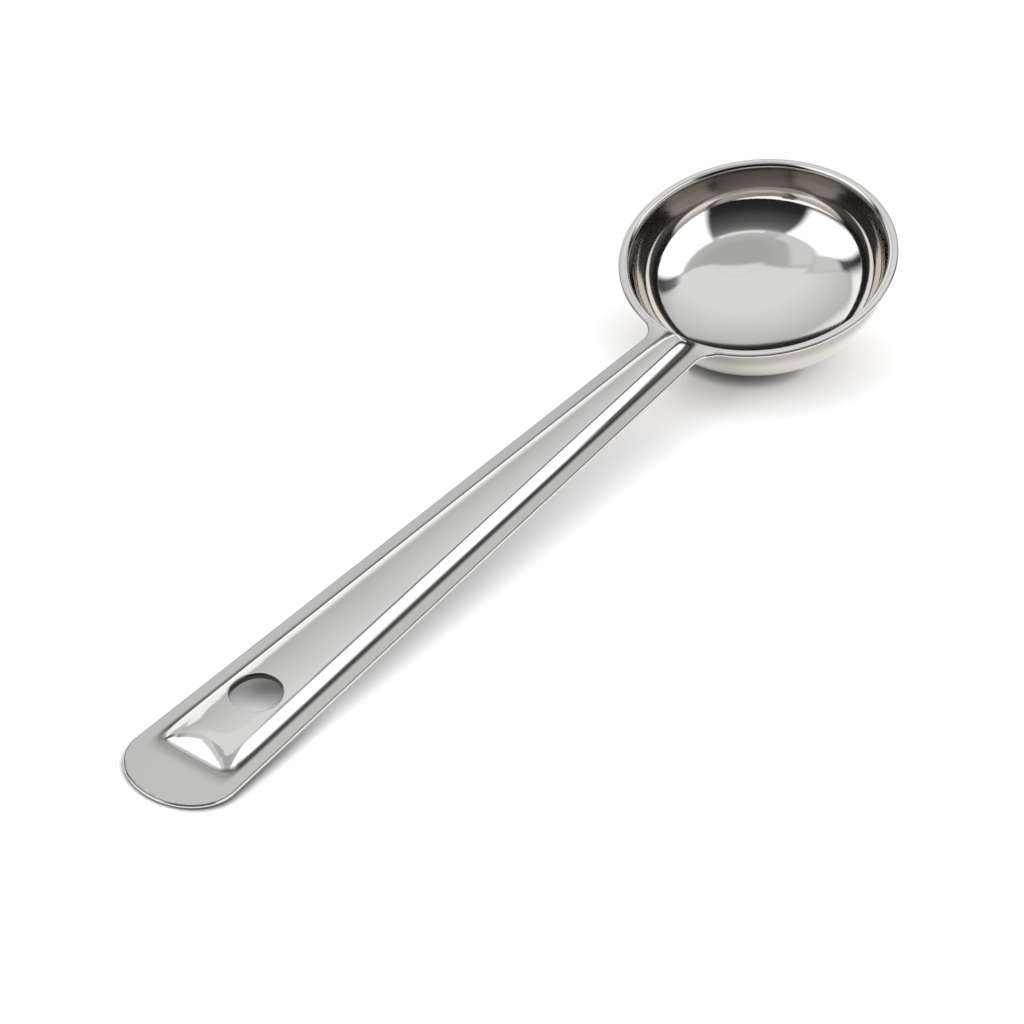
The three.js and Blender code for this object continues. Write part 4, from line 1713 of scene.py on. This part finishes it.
    def brightness(self, tree: bpy.types.NodeTree) -> bpy.types.NodeSocket:
        """Draw the studio.

        The brightness of a direction is the greatest of the room's level at its elevation, the ceiling's
        and the windows'.

        Args:
            tree: Node tree of the world.

        Returns:
            The brightness of each direction, where 1 is white.
        """
        direction = add_node(tree, "ShaderNodeTexCoord", {}, {}).outputs["Generated"]
        split = add_node(tree, "ShaderNodeSeparateXYZ", {}, {"Vector": direction})
        azimuth = add_math(tree, "ARCTAN2", split.outputs["Y"], split.outputs["X"])
        elevation = add_math(tree, "ARCSINE", split.outputs["Z"])
        share = add_range(tree, elevation, (0.0, math.pi / 2))
        ramp = add_node(tree, "ShaderNodeValToRGB", {}, {"Fac": share})
        stops = ramp.color_ramp.elements
        while len(stops) < len(self.room):
            stops.new(1.0)
        for stop, (height, level) in zip(stops, self.room):
            stop.position = height / ZENITH
            stop.color = (level, level, level, 1.0)
        far = math.radians(self.ceiling_azimuth)
        reach = add_node(
            tree,
            "ShaderNodeVectorMath",
            {"operation": "DOT_PRODUCT"},
            {0: direction, 1: (math.cos(far), math.sin(far), 0.0)},
        ).outputs["Value"]
        span = (math.radians(self.ceiling_span[0]), math.radians(self.ceiling_span[1]))
        above = add_range(tree, elevation, span, kind="SMOOTHSTEP")
        lit_edge = add_range(tree, reach, self.ceiling_edge, (0.0, self.ceiling), "SMOOTHSTEP")
        lit_ceiling = add_math(tree, "MULTIPLY", above, lit_edge)
        level = add_math(tree, "MAXIMUM", ramp.outputs["Color"], lit_ceiling)
        for window in self.windows:
            lit = window.mask(tree, azimuth, elevation)
            level = add_math(tree, "MAXIMUM", level, lit)
        return level

    def light(self) -> None:
        """Light the scene with the studio.

        The polished steel mirrors the studio. The same studio lights the table, stronger by the fill, and
        the camera itself sees plain white.
        """
        world = bpy.data.worlds.new("studio")
        bpy.context.scene.world = world
        world.use_nodes = True
        tree = world.node_tree
        tree.nodes.clear()
        level = self.brightness(tree)
        studio = add_node(
            tree, "ShaderNodeBackground", {}, {"Color": linear_colour(self.light_colour), "Strength": level}
        ).outputs["Background"]
        plain = {"Color": WHITE, "Strength": 1.0}
        white = add_node(tree, "ShaderNodeBackground", {}, plain).outputs["Background"]
        filling = {"Color": WHITE, "Strength": add_math(tree, "MULTIPLY", level, self.fill)}
        even = add_node(tree, "ShaderNodeBackground", {}, filling).outputs["Background"]
        path = add_node(tree, "ShaderNodeLightPath", {}, {})
        mirrored = add_node(
            tree, "ShaderNodeMixShader", {}, {0: path.outputs["Is Glossy Ray"], 1: even, 2: studio}
        ).outputs["Shader"]
        shown = add_node(
            tree, "ShaderNodeMixShader", {}, {0: path.outputs["Is Camera Ray"], 1: mirrored, 2: white}
        ).outputs["Shader"]
        add_node(tree, "ShaderNodeOutputWorld", {}, {"Surface": shown})

    def set_camera(self) -> bpy.types.Object:
        """Set up the camera.

        It stands back from its target along its azimuth and elevation, and its right and up directions
        are turned by the roll.

        Returns:
            The camera.
        """
        azimuth, elevation, roll = (math.radians(a) for a in (self.azimuth, self.elevation, self.roll))
        level = math.cos(elevation)
        back = np.array([math.sin(azimuth) * level, -math.cos(azimuth) * level, math.sin(elevation)])
        right = np.array([math.cos(azimuth), math.sin(azimuth), 0.0])
        up = np.cross(back, right)
        turned_right = right * math.cos(roll) + up * math.sin(roll)
        turned_up = up * math.cos(roll) - right * math.sin(roll)
        place = (np.array(self.target) + back * self.distance) * MM
        rows = np.stack([turned_right, turned_up, back, place], axis=-1)
        lens = bpy.data.cameras.new("camera")
        lens.sensor_fit = "HORIZONTAL"
        lens.sensor_width = SENSOR_WIDTH
        lens.lens = self.focal_pixels * SENSOR_WIDTH / PICTURE_WIDTH
        camera = bpy.data.objects.new("camera", lens)
        camera.matrix_world = Matrix([*rows.tolist(), [0.0, 0.0, 0.0, 1.0]])
        bpy.context.scene.collection.objects.link(camera)
        bpy.context.scene.camera = camera
        return camera


def report(piece: bpy.types.Object) -> None:
    """Log the size of a finished piece."""
    size = ", ".join(f"{length / MM:.1f}" for length in piece.dimensions)
    LOG.info("%s: %d faces, %s mm", piece.name, len(piece.data.polygons), size)


def main() -> None:
    """Build the ladle and its studio.

    Each finished piece is reported, first those of the ladle, then the table.
    """
    logging.basicConfig(level=logging.INFO, format="%(name)s: %(message)s")
    bpy.context.scene.view_settings.view_transform = "Standard"
    sheet = Sheet()
    rest = Rest()
    outline = Outline()
    bowl = Bowl(sheet, outline, rest)
    handle = Handle(sheet, outline, bowl, rest)
    welds = PlugWelds(bowl, handle)
    bowl_steel = PolishedSteel("polished_stainless_bowl", Polish.ROUND)
    # The handle's painted shade colour is darker than the bowl's
    handle_steel = PolishedSteel(
        "polished_stainless_handle", Polish.ALONG, worn_colour="CDC8C3", shade_colour="433F3B"
    )
    report(bowl.build(bowl_steel))
    report(handle.build(handle_steel))
    for weld in welds.build(WeldSteel("brushed_weld_stainless")):
        report(weld)
    studio = Studio()
    report(studio.lay_table())
    studio.light()
    studio.set_camera()


if __name__ == "__main__":
    main()
